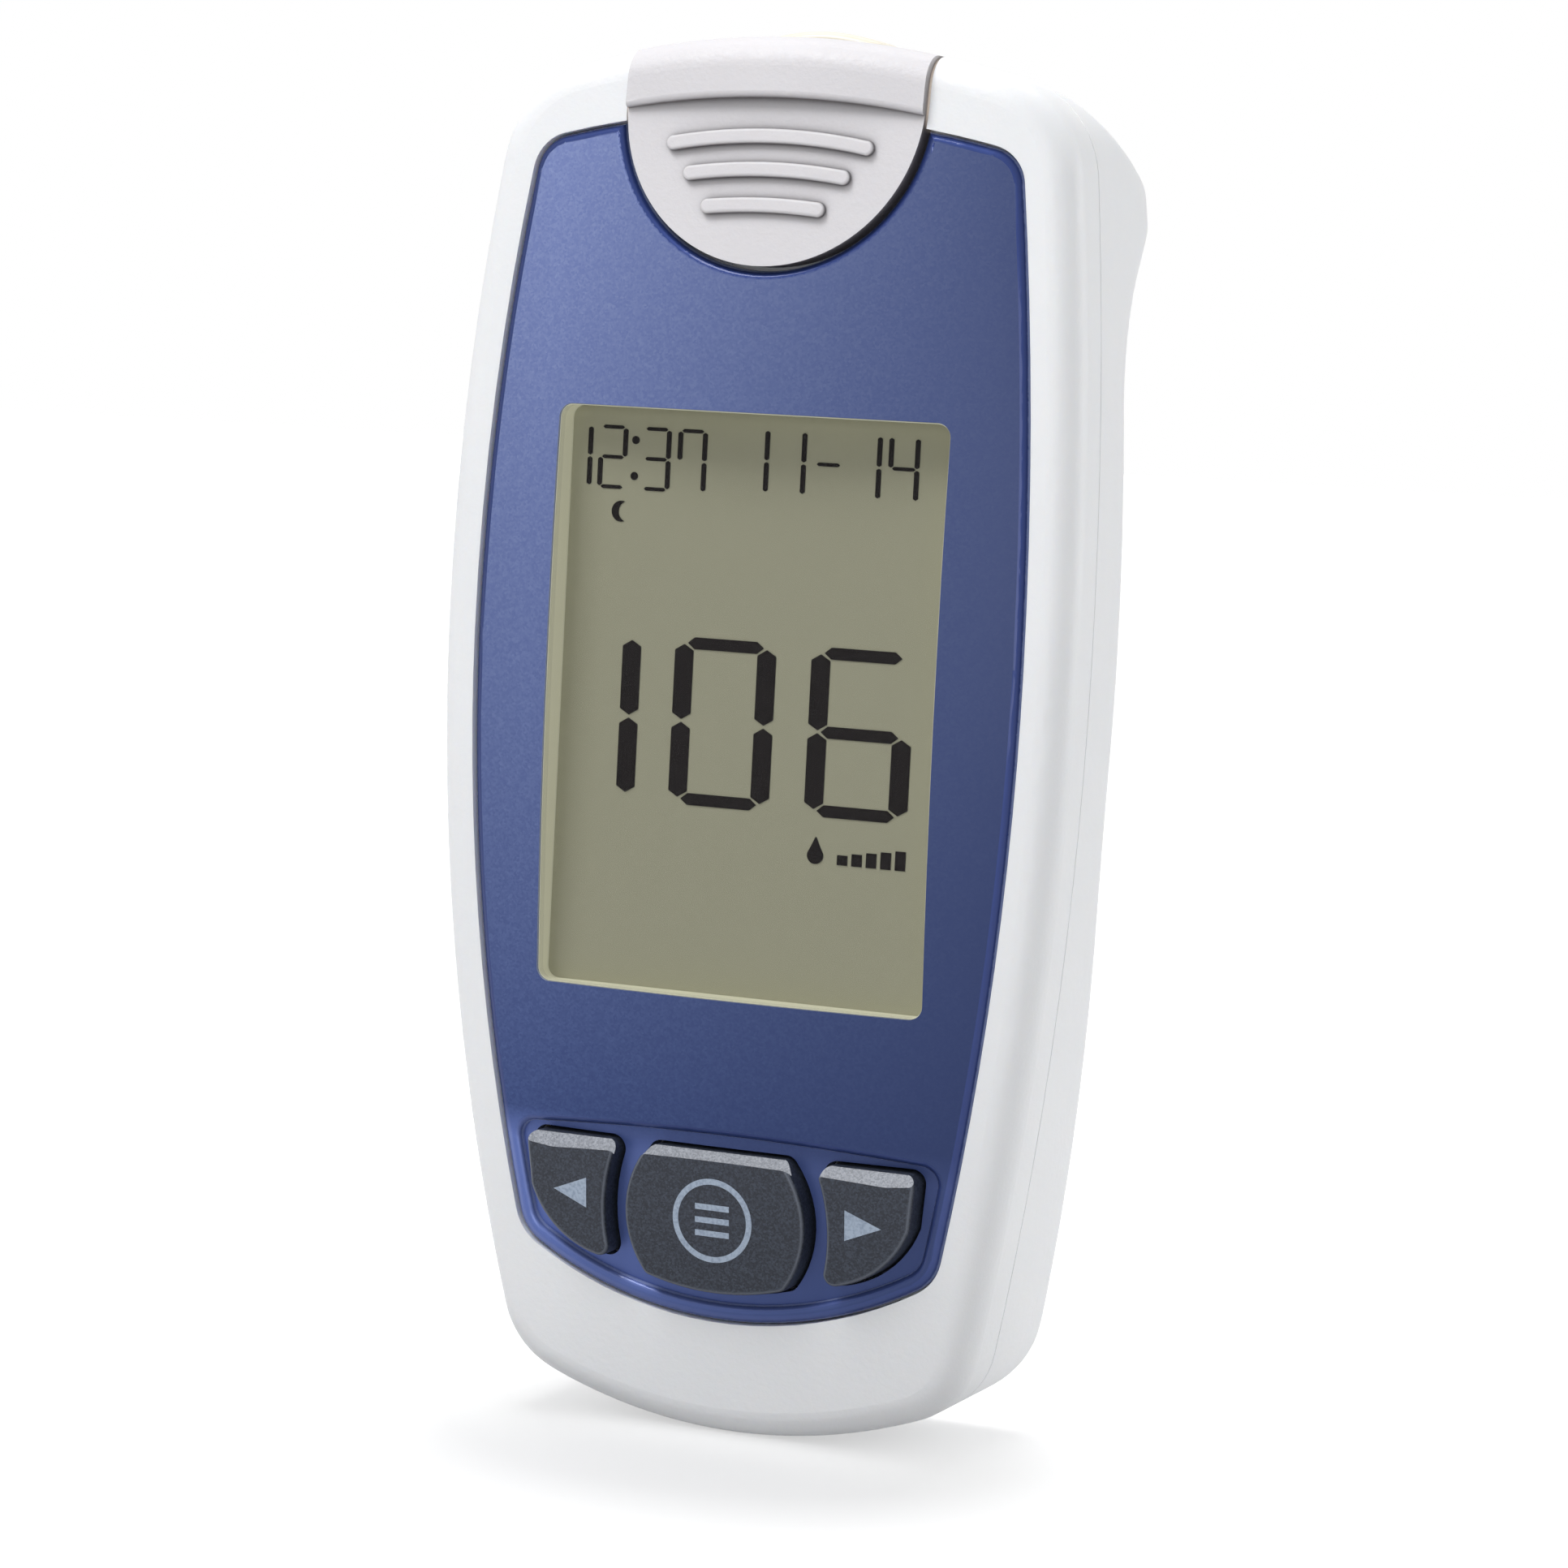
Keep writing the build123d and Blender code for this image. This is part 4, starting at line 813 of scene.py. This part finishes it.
def add_digit(shape, digit, middle, spacing, half_height, column_width, bar_width, gap):
    """One digit around its middle; spacing is between its two columns of bars."""
    x, z = middle
    column_length = half_height - 2 * gap + bar_width * 0.1
    bar_length = spacing - 2 * gap - column_width * 0.15
    places = {
        "a": (x, z + half_height, False), "g": (x, z, False), "d": (x, z - half_height, False),
        "b": (x + spacing / 2, z + half_height / 2, True), "c": (x + spacing / 2, z - half_height / 2, True),
        "f": (x - spacing / 2, z + half_height / 2, True), "e": (x - spacing / 2, z - half_height / 2, True),
    }
    for bar in BARS_OF[digit]:
        bar_x, bar_z, upright = places[bar]
        if upright:
            add_bar(shape, (bar_x, bar_z), column_length, column_width, column_width * 0.3, True)
        else:
            add_bar(shape, (bar_x, bar_z), bar_length, bar_width, bar_width * 0.62, False)


def add_dot(shape, centre, radius, corners=20):
    """A round plate."""
    ring = []
    for step in range(corners):
        angle = 2 * math.pi * step / corners
        ring.append((
            display_x + centre[0] + radius * math.cos(angle),
            display_z + centre[1] + radius * math.sin(angle),
        ))
    add_plate(shape, ring, figure_front, figure_back)


print("figures stand", round(display_low.y / MM - figure_front, 3), "mm in front of the display")

# %% Reading, clock and date
# Places are millimetres from the middle of the display; sizes are millimetres too.
READING_Z = -1.32
READING_STYLE = {"spacing": 6.3, "half_height": 5.48, "column_width": 1.42, "bar_width": 0.84, "gap": 0.14}
reading = bmesh.new()
for digit, x in (("1", -12.4), ("0", -2.05), ("6", 8.33)):
    add_digit(reading, digit, (x, READING_Z), **READING_STYLE)
reading_figures = make_piece(reading, "reading_figures", [dark_crystal], "case")

CLOCK_Z = 16.83
CLOCK_STYLE = {"spacing": 1.88, "half_height": 2.1, "column_width": 0.37, "bar_width": 0.26, "gap": 0.07}
COLON_X, COLON_RISE, COLON_RADIUS = -9.72, 1.26, 0.29
clock = bmesh.new()
for digit, x in (("1", -14.15), ("2", -11.45), ("3", -8.1), ("7", -5.34)):
    add_digit(clock, digit, (x, CLOCK_Z), **CLOCK_STYLE)
for side in (-1, 1):
    add_dot(clock, (COLON_X, CLOCK_Z + side * COLON_RISE), COLON_RADIUS)
clock_figures = make_piece(clock, "clock_figures", [dark_crystal], "case")

DATE_Z = 17.15
DATE_STYLE = CLOCK_STYLE | {"spacing": 1.94, "half_height": 2.16}
date = bmesh.new()
for digit, x in (("1", -0.64), ("1", 2.15), ("-", 4.97), ("1", 7.77), ("4", 10.57)):
    add_digit(date, digit, (x, DATE_Z), **DATE_STYLE)
date_figures = make_piece(date, "date_figures", [dark_crystal], "case")
for figures in (reading_figures, clock_figures, date_figures):
    print(figures.name, "has", len(figures.data.polygons), "faces")

# %% [markdown]
# ## Signs on the display
# Beside the digits such displays have fixed signs. A crescent marks the second half of the day,
# and a drop with a short level scale stands under the reading. They are plain, wordless shapes: the
# crescent is one circle with a second one bitten out of it, and the drop is a circle drawn to a point.


# %% Crescent, drop and level scale
def crescent_outline(centre, radius, bite, corners=24):
    """A circle out of which a second, equal circle is bitten; bite is the step between their middles."""
    horn = math.acos(bite / 2 / radius)
    outline = []
    for step in range(corners + 1):
        angle = horn + (2 * math.pi - 2 * horn) * step / corners
        outline.append((centre[0] + radius * math.cos(angle), centre[1] + radius * math.sin(angle)))
    for step in range(1, corners):
        angle = math.pi + horn - 2 * horn * step / corners
        outline.append((centre[0] + bite + radius * math.cos(angle), centre[1] + radius * math.sin(angle)))
    return [(display_x + x, display_z + z) for x, z in outline]


def drop_outline(centre, radius, height, corners=28):
    """A circle whose upper part is pulled up to a point."""
    outline = []
    for step in range(corners):
        angle = 2 * math.pi * step / corners + math.pi / 2
        reach = max(0.0, math.sin(angle)) ** 3 * (height - 2 * radius)
        squeeze = 1 - 0.55 * max(0.0, math.sin(angle)) ** 2
        outline.append((
            display_x + centre[0] + radius * squeeze * math.cos(angle),
            display_z + centre[1] + radius * math.sin(angle) + reach,
        ))
    return outline


# The level scale: five blocks on one line, each a little taller than the one before.
BLOCKS, BLOCK_STEP, BLOCK_WIDTH = 5, 1.08, 0.78
SCALE_X, SCALE_LOW, SCALE_HIGH, SCALE_RISE = 7.15, -10.45, -9.75, 0.16
signs = bmesh.new()
add_plate(signs, crescent_outline((-10.6, 13.05), radius=0.74, bite=0.55), figure_front, figure_back)
add_plate(signs, drop_outline((5.5, -9.9), radius=0.62, height=1.9), figure_front, figure_back)
for step in range(BLOCKS):
    left = display_x + SCALE_X + BLOCK_STEP * step
    right = left + BLOCK_WIDTH
    low, high = display_z + SCALE_LOW, display_z + SCALE_HIGH + SCALE_RISE * step
    add_plate(signs, [(left, low), (right, low), (right, high), (left, high)], figure_front, figure_back)
level_signs = make_piece(signs, "level_signs", [dark_crystal], "case")
print(level_signs.name, "has", len(level_signs.data.polygons), "faces")

# %% [markdown]
# ## Window reveal
# Seen from the side, a thick clear window shows the wall of its opening. A maker prints that wall in
# the tone of the display, so that the eye takes window and display for one sheet. The print is a thin
# collar: its front edge follows the crowned face, which is found by dropping points onto the face
# plate just outside the opening, and its rear edge ends on the display.

# %% Collar around the display opening
window_low, window_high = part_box("display_window")
REVEAL_LIP, REVEAL_CORNER, REVEAL_GAP = 0.8, 0.95, 0.03
COLLAR_WALL, COLLAR_BELOW_FACE, PROBE_SPREAD = 0.05, 0.12, 1.03
reveal_half_x = (window_high.x - window_low.x) / 2 / MM - REVEAL_LIP - REVEAL_GAP
reveal_half_z = (window_high.z - window_low.z) / 2 / MM - REVEAL_LIP - REVEAL_GAP


def reveal_points(inset):
    """Rounded rectangle around the display middle, `inset` inside the opening."""
    points = []
    radius = REVEAL_CORNER - inset
    for start, sign_x, sign_z in ((0, 1, 1), (90, -1, 1), (180, -1, -1), (270, 1, -1)):
        for step in range(9):
            angle = math.radians(start + 90 * step / 8)
            points.append((
                display_x + sign_x * (reveal_half_x - REVEAL_CORNER) + radius * math.cos(angle),
                display_z + sign_z * (reveal_half_z - REVEAL_CORNER) + radius * math.sin(angle),
            ))
    spaced = []
    for index, point in enumerate(points):
        after = points[(index + 1) % len(points)]
        parts = max(1, round(math.dist(point, after) / 2))
        for part in range(parts):
            share = part / parts
            spaced.append(tuple(a + (b - a) * share for a, b in zip(point, after)))
    return spaced


face_tree = BVHTree.FromObject(frame["nodes"]["front_panel"], bpy.context.evaluated_depsgraph_get())
reveal = bmesh.new()
rear_y = display_low.y / MM
walls = []
for inset in (0.0, COLLAR_WALL):
    ring_front, ring_rear = [], []
    for x, z in reveal_points(inset):
        probe = Vector((display_x + (x - display_x) * PROBE_SPREAD, -1, 0)) * MM
        probe.y, probe.z = -1, (display_z + (z - display_z) * PROBE_SPREAD) * MM
        hit = face_tree.ray_cast(probe, Vector((0, 1, 0)))[0]
        ring_front.append(reveal.verts.new((x, hit.y / MM + COLLAR_BELOW_FACE, z)))
        ring_rear.append(reveal.verts.new((x, rear_y, z)))
    walls.append((ring_front, ring_rear))
(outer_front, outer_rear), (inner_front, inner_rear) = walls
for index in range(len(outer_front)):
    after = (index + 1) % len(outer_front)
    for first, second in (
        (outer_front, outer_rear), (outer_rear, inner_rear),
        (inner_rear, inner_front), (inner_front, outer_front),
    ):
        reveal.faces.new((first[index], first[after], second[after], second[index]))
window_reveal = make_piece(reveal, "window_reveal", [reveal_print], "case", smooth_angle=30)
print("reveal faces:", len(window_reveal.data.polygons))

# %% [markdown]
# ## Key symbols
# Two arrows and a ring with three bars, the common sign for stored entries, are printed on the keys.
# The key tops are crowned, so a flat print would sink in at one end and float at the other. Each
# corner of a symbol is therefore dropped straight onto the key until it meets the surface, and the
# ink film is built up from there. Each print rides on its own key and travels with it.


# %% Print on the keys
INK_FILM, INK_ROOT = 0.03, 0.01


def add_print(shape, outline, key, hole=None):
    """Ink film on a key; outline and hole are lists of (x, z) in millimetres."""
    tree = BVHTree.FromObject(frame["nodes"][key], bpy.context.evaluated_depsgraph_get())

    def on_key(point, lift):
        hit = tree.ray_cast(Vector((point[0] * MM, -1, point[1] * MM)), Vector((0, 1, 0)))[0]
        return shape.verts.new((point[0], hit.y / MM - lift, point[1]))

    rings = []
    for corners in (outline, hole):
        if corners:
            rings.append([[on_key(p, INK_FILM) for p in corners], [on_key(p, -INK_ROOT) for p in corners]])
    count = len(outline)
    for top, under in rings:
        for index in range(count):
            after = (index + 1) % count
            shape.faces.new((top[index], top[after], under[after], under[index]))
    if hole:
        for layer in (0, 1):
            outer, inner = rings[0][layer], rings[1][layer]
            for index in range(count):
                after = (index + 1) % count
                shape.faces.new((outer[index], outer[after], inner[after], inner[index]))
    else:
        shape.faces.new(rings[0][0])
        shape.faces.new(rings[0][1])


def circle_points(centre, radius, count=72):
    angles = [2 * math.pi * i / count for i in range(count)]
    return [(centre[0] + radius * math.cos(a), centre[1] + radius * math.sin(a)) for a in angles]


ARROW_TIP, ARROW_BASE, ARROW_Z, ARROW_HALF = 12.55, 9.9, 16.82, 1.09
for side, key, body in ((1, "right_button", "right_key"), (-1, "left_button", "left_key")):
    arrow = bmesh.new()
    corners = [
        (side * ARROW_TIP, ARROW_Z),
        (side * ARROW_BASE, ARROW_Z + ARROW_HALF), (side * ARROW_BASE, ARROW_Z - ARROW_HALF),
    ]
    add_print(arrow, corners, key)
    make_piece(arrow, f"arrow_print_{body}", [ink], body)

RING_CENTRE, RING_OUTER, RING_INNER = (0.0, 16.0), 3.02, 2.6
BAR_STEP, BAR_HALF_WIDTH, BAR_HALF_HEIGHT = 0.95, 1.3, 0.21
ring = bmesh.new()
hole = circle_points(RING_CENTRE, RING_INNER)
add_print(ring, circle_points(RING_CENTRE, RING_OUTER), "centre_button", hole)
for row in (-1, 0, 1):
    middle = RING_CENTRE[1] + row * BAR_STEP
    low, high = middle - BAR_HALF_HEIGHT, middle + BAR_HALF_HEIGHT
    left, right = -BAR_HALF_WIDTH, BAR_HALF_WIDTH
    add_print(ring, [(left, low), (right, low), (right, high), (left, high)], "centre_button")
make_piece(ring, "ring_print_centre_key", [ink], "centre_key")
print("printed 3 symbols")

# %% [markdown]
# ## Turned pieces: screws and the coin cell
# A screw and a coin cell are both bodies of revolution, so one function spins a half profile about an
# axis. The screw then gets a cross recess cut by a Boolean, as a real head is struck by a
# cross-shaped punch. Its thread is a row of ridges: at this size nobody can tell rings from a helix.


# %% Spin a profile
def spin_profile(profile, steps=64):
    """Closed surface from (radius, height) points that start and end on the axis, along +Z."""
    shape = bmesh.new()
    rings = []
    for radius, height in profile:
        angles = [2 * math.pi / steps * i for i in range(steps)] if radius else [0]
        rings.append([
            shape.verts.new((radius * math.cos(angle), radius * math.sin(angle), height)) for angle in angles
        ])
    for lower, upper in zip(rings, rings[1:]):
        for index in range(steps):
            after = (index + 1) % steps
            corners = [lower[index % len(lower)], lower[after % len(lower)]]
            corners += [upper[after % len(upper)], upper[index % len(upper)]]
            # On the axis two corners are the same vertex, and the face has three corners.
            shape.faces.new(dict.fromkeys(corners))
    return shape


# The punch is wider above the head and narrows to its tip; these are shares of its size at the head.
PUNCH_FLARE, PUNCH_TIP = 1.1, 0.45
PUNCH_ABOVE = 0.3


def cut_cross(shape, width, reach, depth, top):
    """Cuts a tapered cross recess into the top of a shape that stands along +Z."""
    body = bpy.data.objects.new("cut_body", bpy.data.meshes.new("cut_body"))
    punch = bpy.data.objects.new("cut_punch", bpy.data.meshes.new("cut_punch"))
    bmesh.ops.recalc_face_normals(shape, faces=shape.faces)
    shape.to_mesh(body.data)
    shape.free()
    tool = bmesh.new()
    half, outline = width / 2, []
    for quarter in range(4):
        # Turned in plain floats: a matrix rounds the corners, and the cut then gets slivers.
        cosine, sine = math.cos(math.pi / 2 * quarter), math.sin(math.pi / 2 * quarter)
        for x, y in ((reach, -half), (reach, half), (half, half)):
            outline.append((x * cosine - y * sine, x * sine + y * cosine))
    high = [tool.verts.new((x * PUNCH_FLARE, y * PUNCH_FLARE, top + PUNCH_ABOVE)) for x, y in outline]
    low = [tool.verts.new((x * PUNCH_TIP, y * PUNCH_TIP, top - depth)) for x, y in outline]
    tool.faces.new(high)
    tool.faces.new(list(reversed(low)))
    for index in range(len(outline)):
        after = (index + 1) % len(outline)
        tool.faces.new((high[index], low[index], low[after], high[after]))
    bmesh.ops.recalc_face_normals(tool, faces=tool.faces)
    tool.to_mesh(punch.data)
    tool.free()
    for thing in (body, punch):
        scene.collection.objects.link(thing)
    cut = body.modifiers.new("cross", "BOOLEAN")
    cut.object = punch
    cut.solver = "EXACT"
    result = bmesh.new()
    result.from_object(body, bpy.context.evaluated_depsgraph_get())
    for thing in (body, punch):
        bpy.data.objects.remove(thing)
    return result


print("the punch narrows to", round(PUNCH_TIP / PUNCH_FLARE, 2), "of its widest size")

# %% Screws
THREAD_PITCH, THREAD_VALLEY, THREAD_RUNOUT = 0.45, 0.22, 0.4
ROOT_SHARE, CREST_SHARE = 0.8, 0.99
SLOT_TURN = 23      # degrees from one screw to the next, since no two are driven home at the same angle


def make_screws(node, body, head_height, shank_radius):
    """Pan-head screws in place of a node's plain ones; their heads look toward +Y."""
    for number, (low, high) in enumerate(solid_boxes(node), 1):
        radius = (high.x - low.x) / 2
        length = high.y - low.y
        head = length - head_height
        profile = [(0, 0), (shank_radius * 0.6, 0), (shank_radius * ROOT_SHARE, 0.3)]
        height = THREAD_PITCH
        while height < head - THREAD_RUNOUT:
            profile.append((shank_radius * CREST_SHARE, height))
            profile.append((shank_radius * ROOT_SHARE, height + THREAD_VALLEY))
            height += THREAD_PITCH
        profile += [(shank_radius * 0.9, head - 0.05), (shank_radius * 0.95, head), (radius * 0.96, head)]
        profile += [(radius * 0.995, head + 0.12), (radius * 0.995, head + head_height * 0.45)]
        for step in range(1, 7):
            angle = math.pi / 2 * step / 7
            dome_height = head + head_height * (0.45 + 0.55 * math.sin(angle))
            profile.append((radius * (0.62 + 0.375 * math.cos(angle)), dome_height))
        profile += [(radius * 0.6, length), (0, length)]
        screw = cut_cross(spin_profile(profile, 48), radius * 0.3, radius * 0.62, head_height * 0.6, length)
        stand = Matrix.Rotation(math.radians(-90), 4, "X")
        spin = Matrix.Rotation(math.radians(SLOT_TURN * number), 4, "Z")
        place = Matrix.Translation(((low.x + high.x) / 2, low.y, (low.z + high.z) / 2))
        screw.transform(place @ stand @ spin)
        piece = make_piece(screw, f"{node}_{number}", [screw_steel], body, smooth_angle=35)
        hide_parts(node)


make_screws("housing_screws", "case", 1.5, 0.95)
make_screws("board_screws", "case", 1.0, 0.75)
make_screws("ejector_screw", "ejector", 1.0, 0.95)

# %% [markdown]
# ## Coin cell
# A coin cell is a drawn steel can crimped over a nylon seal, with a smaller cap at its minus side. The
# can's shoulder is round, the crimp leaves a thin dark ring, and the plus face is brushed. The
# packed cell tells where it lies: its middle is the middle of its box, and its axis is the normal of
# its largest flat face.

# %% Build the cell along its own axis
cell_node = frame["nodes"]["coin_cell"]
cell_low, cell_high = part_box("coin_cell")
largest = max(cell_node.data.polygons, key=lambda face: face.area)
cell_axis = largest.normal.copy()
if cell_axis.y < 0:
    cell_axis.negate()
CELL_RADIUS, CELL_HALF = 9.98, 1.59
SHOULDER_WIDE, SHOULDER_HIGH, SHOULDER_DROP = 0.9, 0.55, 0.62
# Minus side, as (radius, height above the minus face): cap, its shoulder, the seal, the crimped rim.
minus_side = [(0, 0), (7.9, 0), (8.3, 0.12), (8.6, 0.4), (8.62, 0.3), (8.95, 0.25), (9.0, 0.05)]
minus_side += [(9.15, 0), (9.6, 0.06), (9.9, 0.32), (CELL_RADIUS, 0.7)]
cell_profile = [(radius, -CELL_HALF + height) for radius, height in minus_side]
for step in range(9):
    angle = math.pi / 2 * step / 8
    cell_profile.append((
        CELL_RADIUS - SHOULDER_WIDE + SHOULDER_WIDE * math.cos(angle),
        CELL_HALF - SHOULDER_DROP + SHOULDER_HIGH * math.sin(angle),
    ))
cell_profile += [(8.7, CELL_HALF - 0.05), (8.45, CELL_HALF - 0.03), (8.2, CELL_HALF), (0, CELL_HALF)]
cell_shape = spin_profile(cell_profile, 128)
seal_from, seal_to = 8.61, 8.97
for face in cell_shape.faces:
    middle = face.calc_center_median()
    if middle.z < 0 and seal_from < math.hypot(middle.x, middle.y) < seal_to:
        face.material_index = 1
turn = cell_axis.to_track_quat("Z", "Y").to_matrix().to_4x4()
cell_shape.transform(Matrix.Translation((cell_low + cell_high) / 2 / MM) @ turn)
cell = make_piece(cell_shape, "coin_cell_detailed", [cell_can, foam], "case", smooth_angle=30)
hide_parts("coin_cell")
print("cell lies with its plus face toward", [round(v, 2) for v in cell_axis])

# %% [markdown]
# ## Return springs
# Each compression spring is a drawn wire wound into a helix whose last turn at each end is closed, so
# that it stands flat. A curve with a round bevel draws it, and that curve is then turned into a mesh
# that rides on the case. In the real meter the spring is squashed toward the shell while the ejector pushes
# up.

# %% Wind the springs
WIRE_RADIUS, LIVE_TURNS, TURN_POINTS = 0.19, 5.0, 28
for number, (low, high) in enumerate(solid_boxes("ejector_springs"), 1):
    centre = (low + high) / 2
    coil_radius = (high.x - low.x) / 2 - WIRE_RADIUS
    closed = 2 * WIRE_RADIUS
    bottom, top = low.z + WIRE_RADIUS, high.z - WIRE_RADIUS
    heights = [(0, bottom), (1, bottom + closed), (1 + LIVE_TURNS, top - closed), (2 + LIVE_TURNS, top)]
    wire = bpy.data.curves.new(f"spring_wire_{number}", "CURVE")
    wire.dimensions = "3D"
    wire.bevel_depth = WIRE_RADIUS * MM
    wire.bevel_resolution = 3
    points = int((2 + LIVE_TURNS) * TURN_POINTS) + 1
    line = wire.splines.new("POLY")
    line.points.add(points - 1)
    for index in range(points):
        turns = index / TURN_POINTS
        start, end = next(pair for pair in zip(heights, heights[1:]) if turns <= pair[1][0] + 1e-9)
        height = start[1] + (end[1] - start[1]) * (turns - start[0]) / (end[0] - start[0])
        angle = 2 * math.pi * turns
        x = centre.x + coil_radius * math.cos(angle)
        y = centre.y + coil_radius * math.sin(angle)
        line.points[index].co = (x * MM, y * MM, height * MM, 1)
    wound = bpy.data.objects.new(f"spring_curve_{number}", wire)
    scene.collection.objects.link(wound)
    mesh = bpy.data.meshes.new_from_object(wound.evaluated_get(bpy.context.evaluated_depsgraph_get()))
    bpy.data.objects.remove(wound)
    mesh.shade_smooth()
    mesh.materials.clear()
    mesh.materials.append(spring_wire)
    spring = bpy.data.objects.new(f"return_spring_{number}", mesh)
    scene.collection.objects.link(spring)
    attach(spring, "case")
    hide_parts("ejector_springs")
    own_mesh(spring)
print("springs wound:", number)

# %% [markdown]
# ## The studio lamps
# White plastic on white needs gentle contrast, or its edges vanish. A small main softbox high on the left
# models the face, a fill from the front right opens the display and the chin, a wide lamp behind rakes
# over the top, and one at the right rear lights the long side. Each is given as a share of a full
# exposure at the meter, so a lamp can move without changing how bright it makes things. One big
# overhead dome would be simpler, but then the face would look flat.


# %% Softboxes
def softbox(name, place, size, share, depth=None):
    """Lamp that gives `share` of a full exposure at the middle of the meter; with a depth it is oblong."""
    lamp = bpy.data.lights.new(name, "AREA")
    lamp.shape = "RECTANGLE" if depth else "SQUARE"
    lamp.size = size
    if depth:
        lamp.size_y = depth
    aim = (cad_low + cad_high) / 2
    distance = (Vector(place) - aim).length
    lamp.energy = share * math.pi**2 * distance**2
    stand = bpy.data.objects.new(name, lamp)
    stand.location = place
    stand.rotation_mode = "QUATERNION"
    stand.rotation_quaternion = (Vector(place) - aim).to_track_quat("Z", "Y")
    scene.collection.objects.link(stand)
    return stand


main_light = softbox("main_softbox", (-0.16, -0.25, 0.5), 0.2, 0.62)
fill_light = softbox("fill_softbox", (0.1, -0.46, 0.05), 0.26, 0.36)
softbox("rear_top_softbox", (-0.06, 0.14, 0.48), 0.4, 0.3, depth=0.16)
side_light = softbox("side_softbox", (0.42, 0.3, 0.15), 0.3, 0.34)
table_light = softbox("table_softbox", (-0.07, 0.09, 0.44), 0.3, 0.22, depth=0.12)

# %% [markdown]
# ## The pale surround
# The surround does two jobs. Rays that only carry light meet a dim white, so that colours land about
# where they were written. Rays that show the surround itself, from the camera, in a gloss or through
# a clear part, meet pure white. The Light Path node tells the two kinds apart.

# %% World
AMBIENT = 0.33
world = bpy.data.worlds.new("pale_surround")
world.use_nodes = True
scene.world = world
sky = world.node_tree
sky.nodes.clear()


def seen_directly(tree):
    """1 for rays that show the surround itself, 0 for those that only carry light."""
    path = add(tree, "ShaderNodeLightPath")
    direct = add(tree, "ShaderNodeMath", {
        0: path.outputs["Is Camera Ray"], 1: path.outputs["Is Glossy Ray"],
    }, operation="MAXIMUM")
    return add(tree, "ShaderNodeMath", {
        0: direct.outputs["Value"], 1: path.outputs["Is Transmission Ray"],
    }, operation="MAXIMUM").outputs["Value"]


dim = add(sky, "ShaderNodeBackground", {"Color": paint("#ffffff"), "Strength": AMBIENT})
clean = add(sky, "ShaderNodeBackground", {"Color": paint("#ffffff"), "Strength": 1.0})
both = add(sky, "ShaderNodeMixShader", {
    0: seen_directly(sky), 1: dim.outputs["Background"], 2: clean.outputs["Background"],
})
add(sky, "ShaderNodeOutputWorld", {"Surface": both.outputs["Shader"]})
print("surround lights with", AMBIENT, "and shows as 1.0")

# %% [markdown]
# ## The floor
# The floor is white paper, a hair below the foot. Photographers put flags between a lamp and the table.
# Light linking does the same: the front and side lamps don't reach the floor, and the table lamp
# reaches nothing else, so one soft shadow falls forward. The paper also glows where the eye sees it
# directly, faintly under the meter and fully a few centimetres away, so the shadow stays a small
# pool at the foot and the paper runs into the white surround without an edge. The darker pool is
# partly painted shadow, from the weaker glow at the foot.

# %% Sheet of paper and who lights it
FLOOR_HALF_MM, FLOOR_GAP_MM = 4000, 0.05
floor_shape = bmesh.new()
bmesh.ops.create_grid(floor_shape, x_segments=2, y_segments=2, size=FLOOR_HALF_MM)
floor_mesh = bpy.data.meshes.new("studio_floor")
floor_shape.to_mesh(floor_mesh)
floor_shape.free()
floor_mesh.transform(Matrix.Scale(MM, 4))
floor = bpy.data.objects.new("studio_floor", floor_mesh)
floor.location.z = cad_low.z - FLOOR_GAP_MM * MM
scene.collection.objects.link(floor)

flag = bpy.data.collections.new("floor_behind_flag")
flag.objects.link(floor)
flag.collection_objects[0].light_linking.link_state = "EXCLUDE"
for lamp in (main_light, fill_light, side_light):
    lamp.light_linking.receiver_collection = flag
table_only = bpy.data.collections.new("floor_only")
table_only.objects.link(floor)
table_light.light_linking.receiver_collection = table_only
flagged = [o.name for o in scene.objects if o.light_linking.receiver_collection == flag]
print("kept off the floor:", flagged)

# %% Paper that glows away from the foot
FOOT_GLOW = 0.5
GLOW_RISES, GLOW_FULL = 22 * MM, 58 * MM
floor_paint = bpy.data.materials.new("paper_white_sweep")
floor_paint.use_nodes = True
sweep = floor_paint.node_tree
sweep.nodes.clear()
paper = add(sweep, "ShaderNodeBsdfDiffuse", {"Color": paint("#f4f4f4")})
spot = add(sweep, "ShaderNodeTexCoord").outputs["Object"]
from_foot = add(sweep, "ShaderNodeVectorMath", {0: spot}, operation="LENGTH")
# Painted shadow: the glow is weaker near the foot, which darkens the pool there.
glow_here = add(sweep, "ShaderNodeMapRange", {
    "Value": from_foot.outputs["Value"], "From Min": GLOW_RISES, "From Max": GLOW_FULL,
    "To Min": FOOT_GLOW, "To Max": 1.0,
})
glow_seen = add(sweep, "ShaderNodeMath", {
    0: seen_directly(sweep), 1: glow_here.outputs["Result"],
}, operation="MULTIPLY")
glow = add(sweep, "ShaderNodeEmission", {"Color": paint("#ffffff"), "Strength": glow_seen.outputs["Value"]})
surface = add(sweep, "ShaderNodeAddShader", {0: paper.outputs["BSDF"], 1: glow.outputs["Emission"]})
add(sweep, "ShaderNodeOutputMaterial", {"Surface": surface.outputs["Shader"]})
floor_mesh.materials.append(floor_paint)
scene.view_settings.view_transform = "Standard"
print("paper glows from", FOOT_GLOW, "at the foot to 1.0 at", round(GLOW_FULL / MM), "mm")
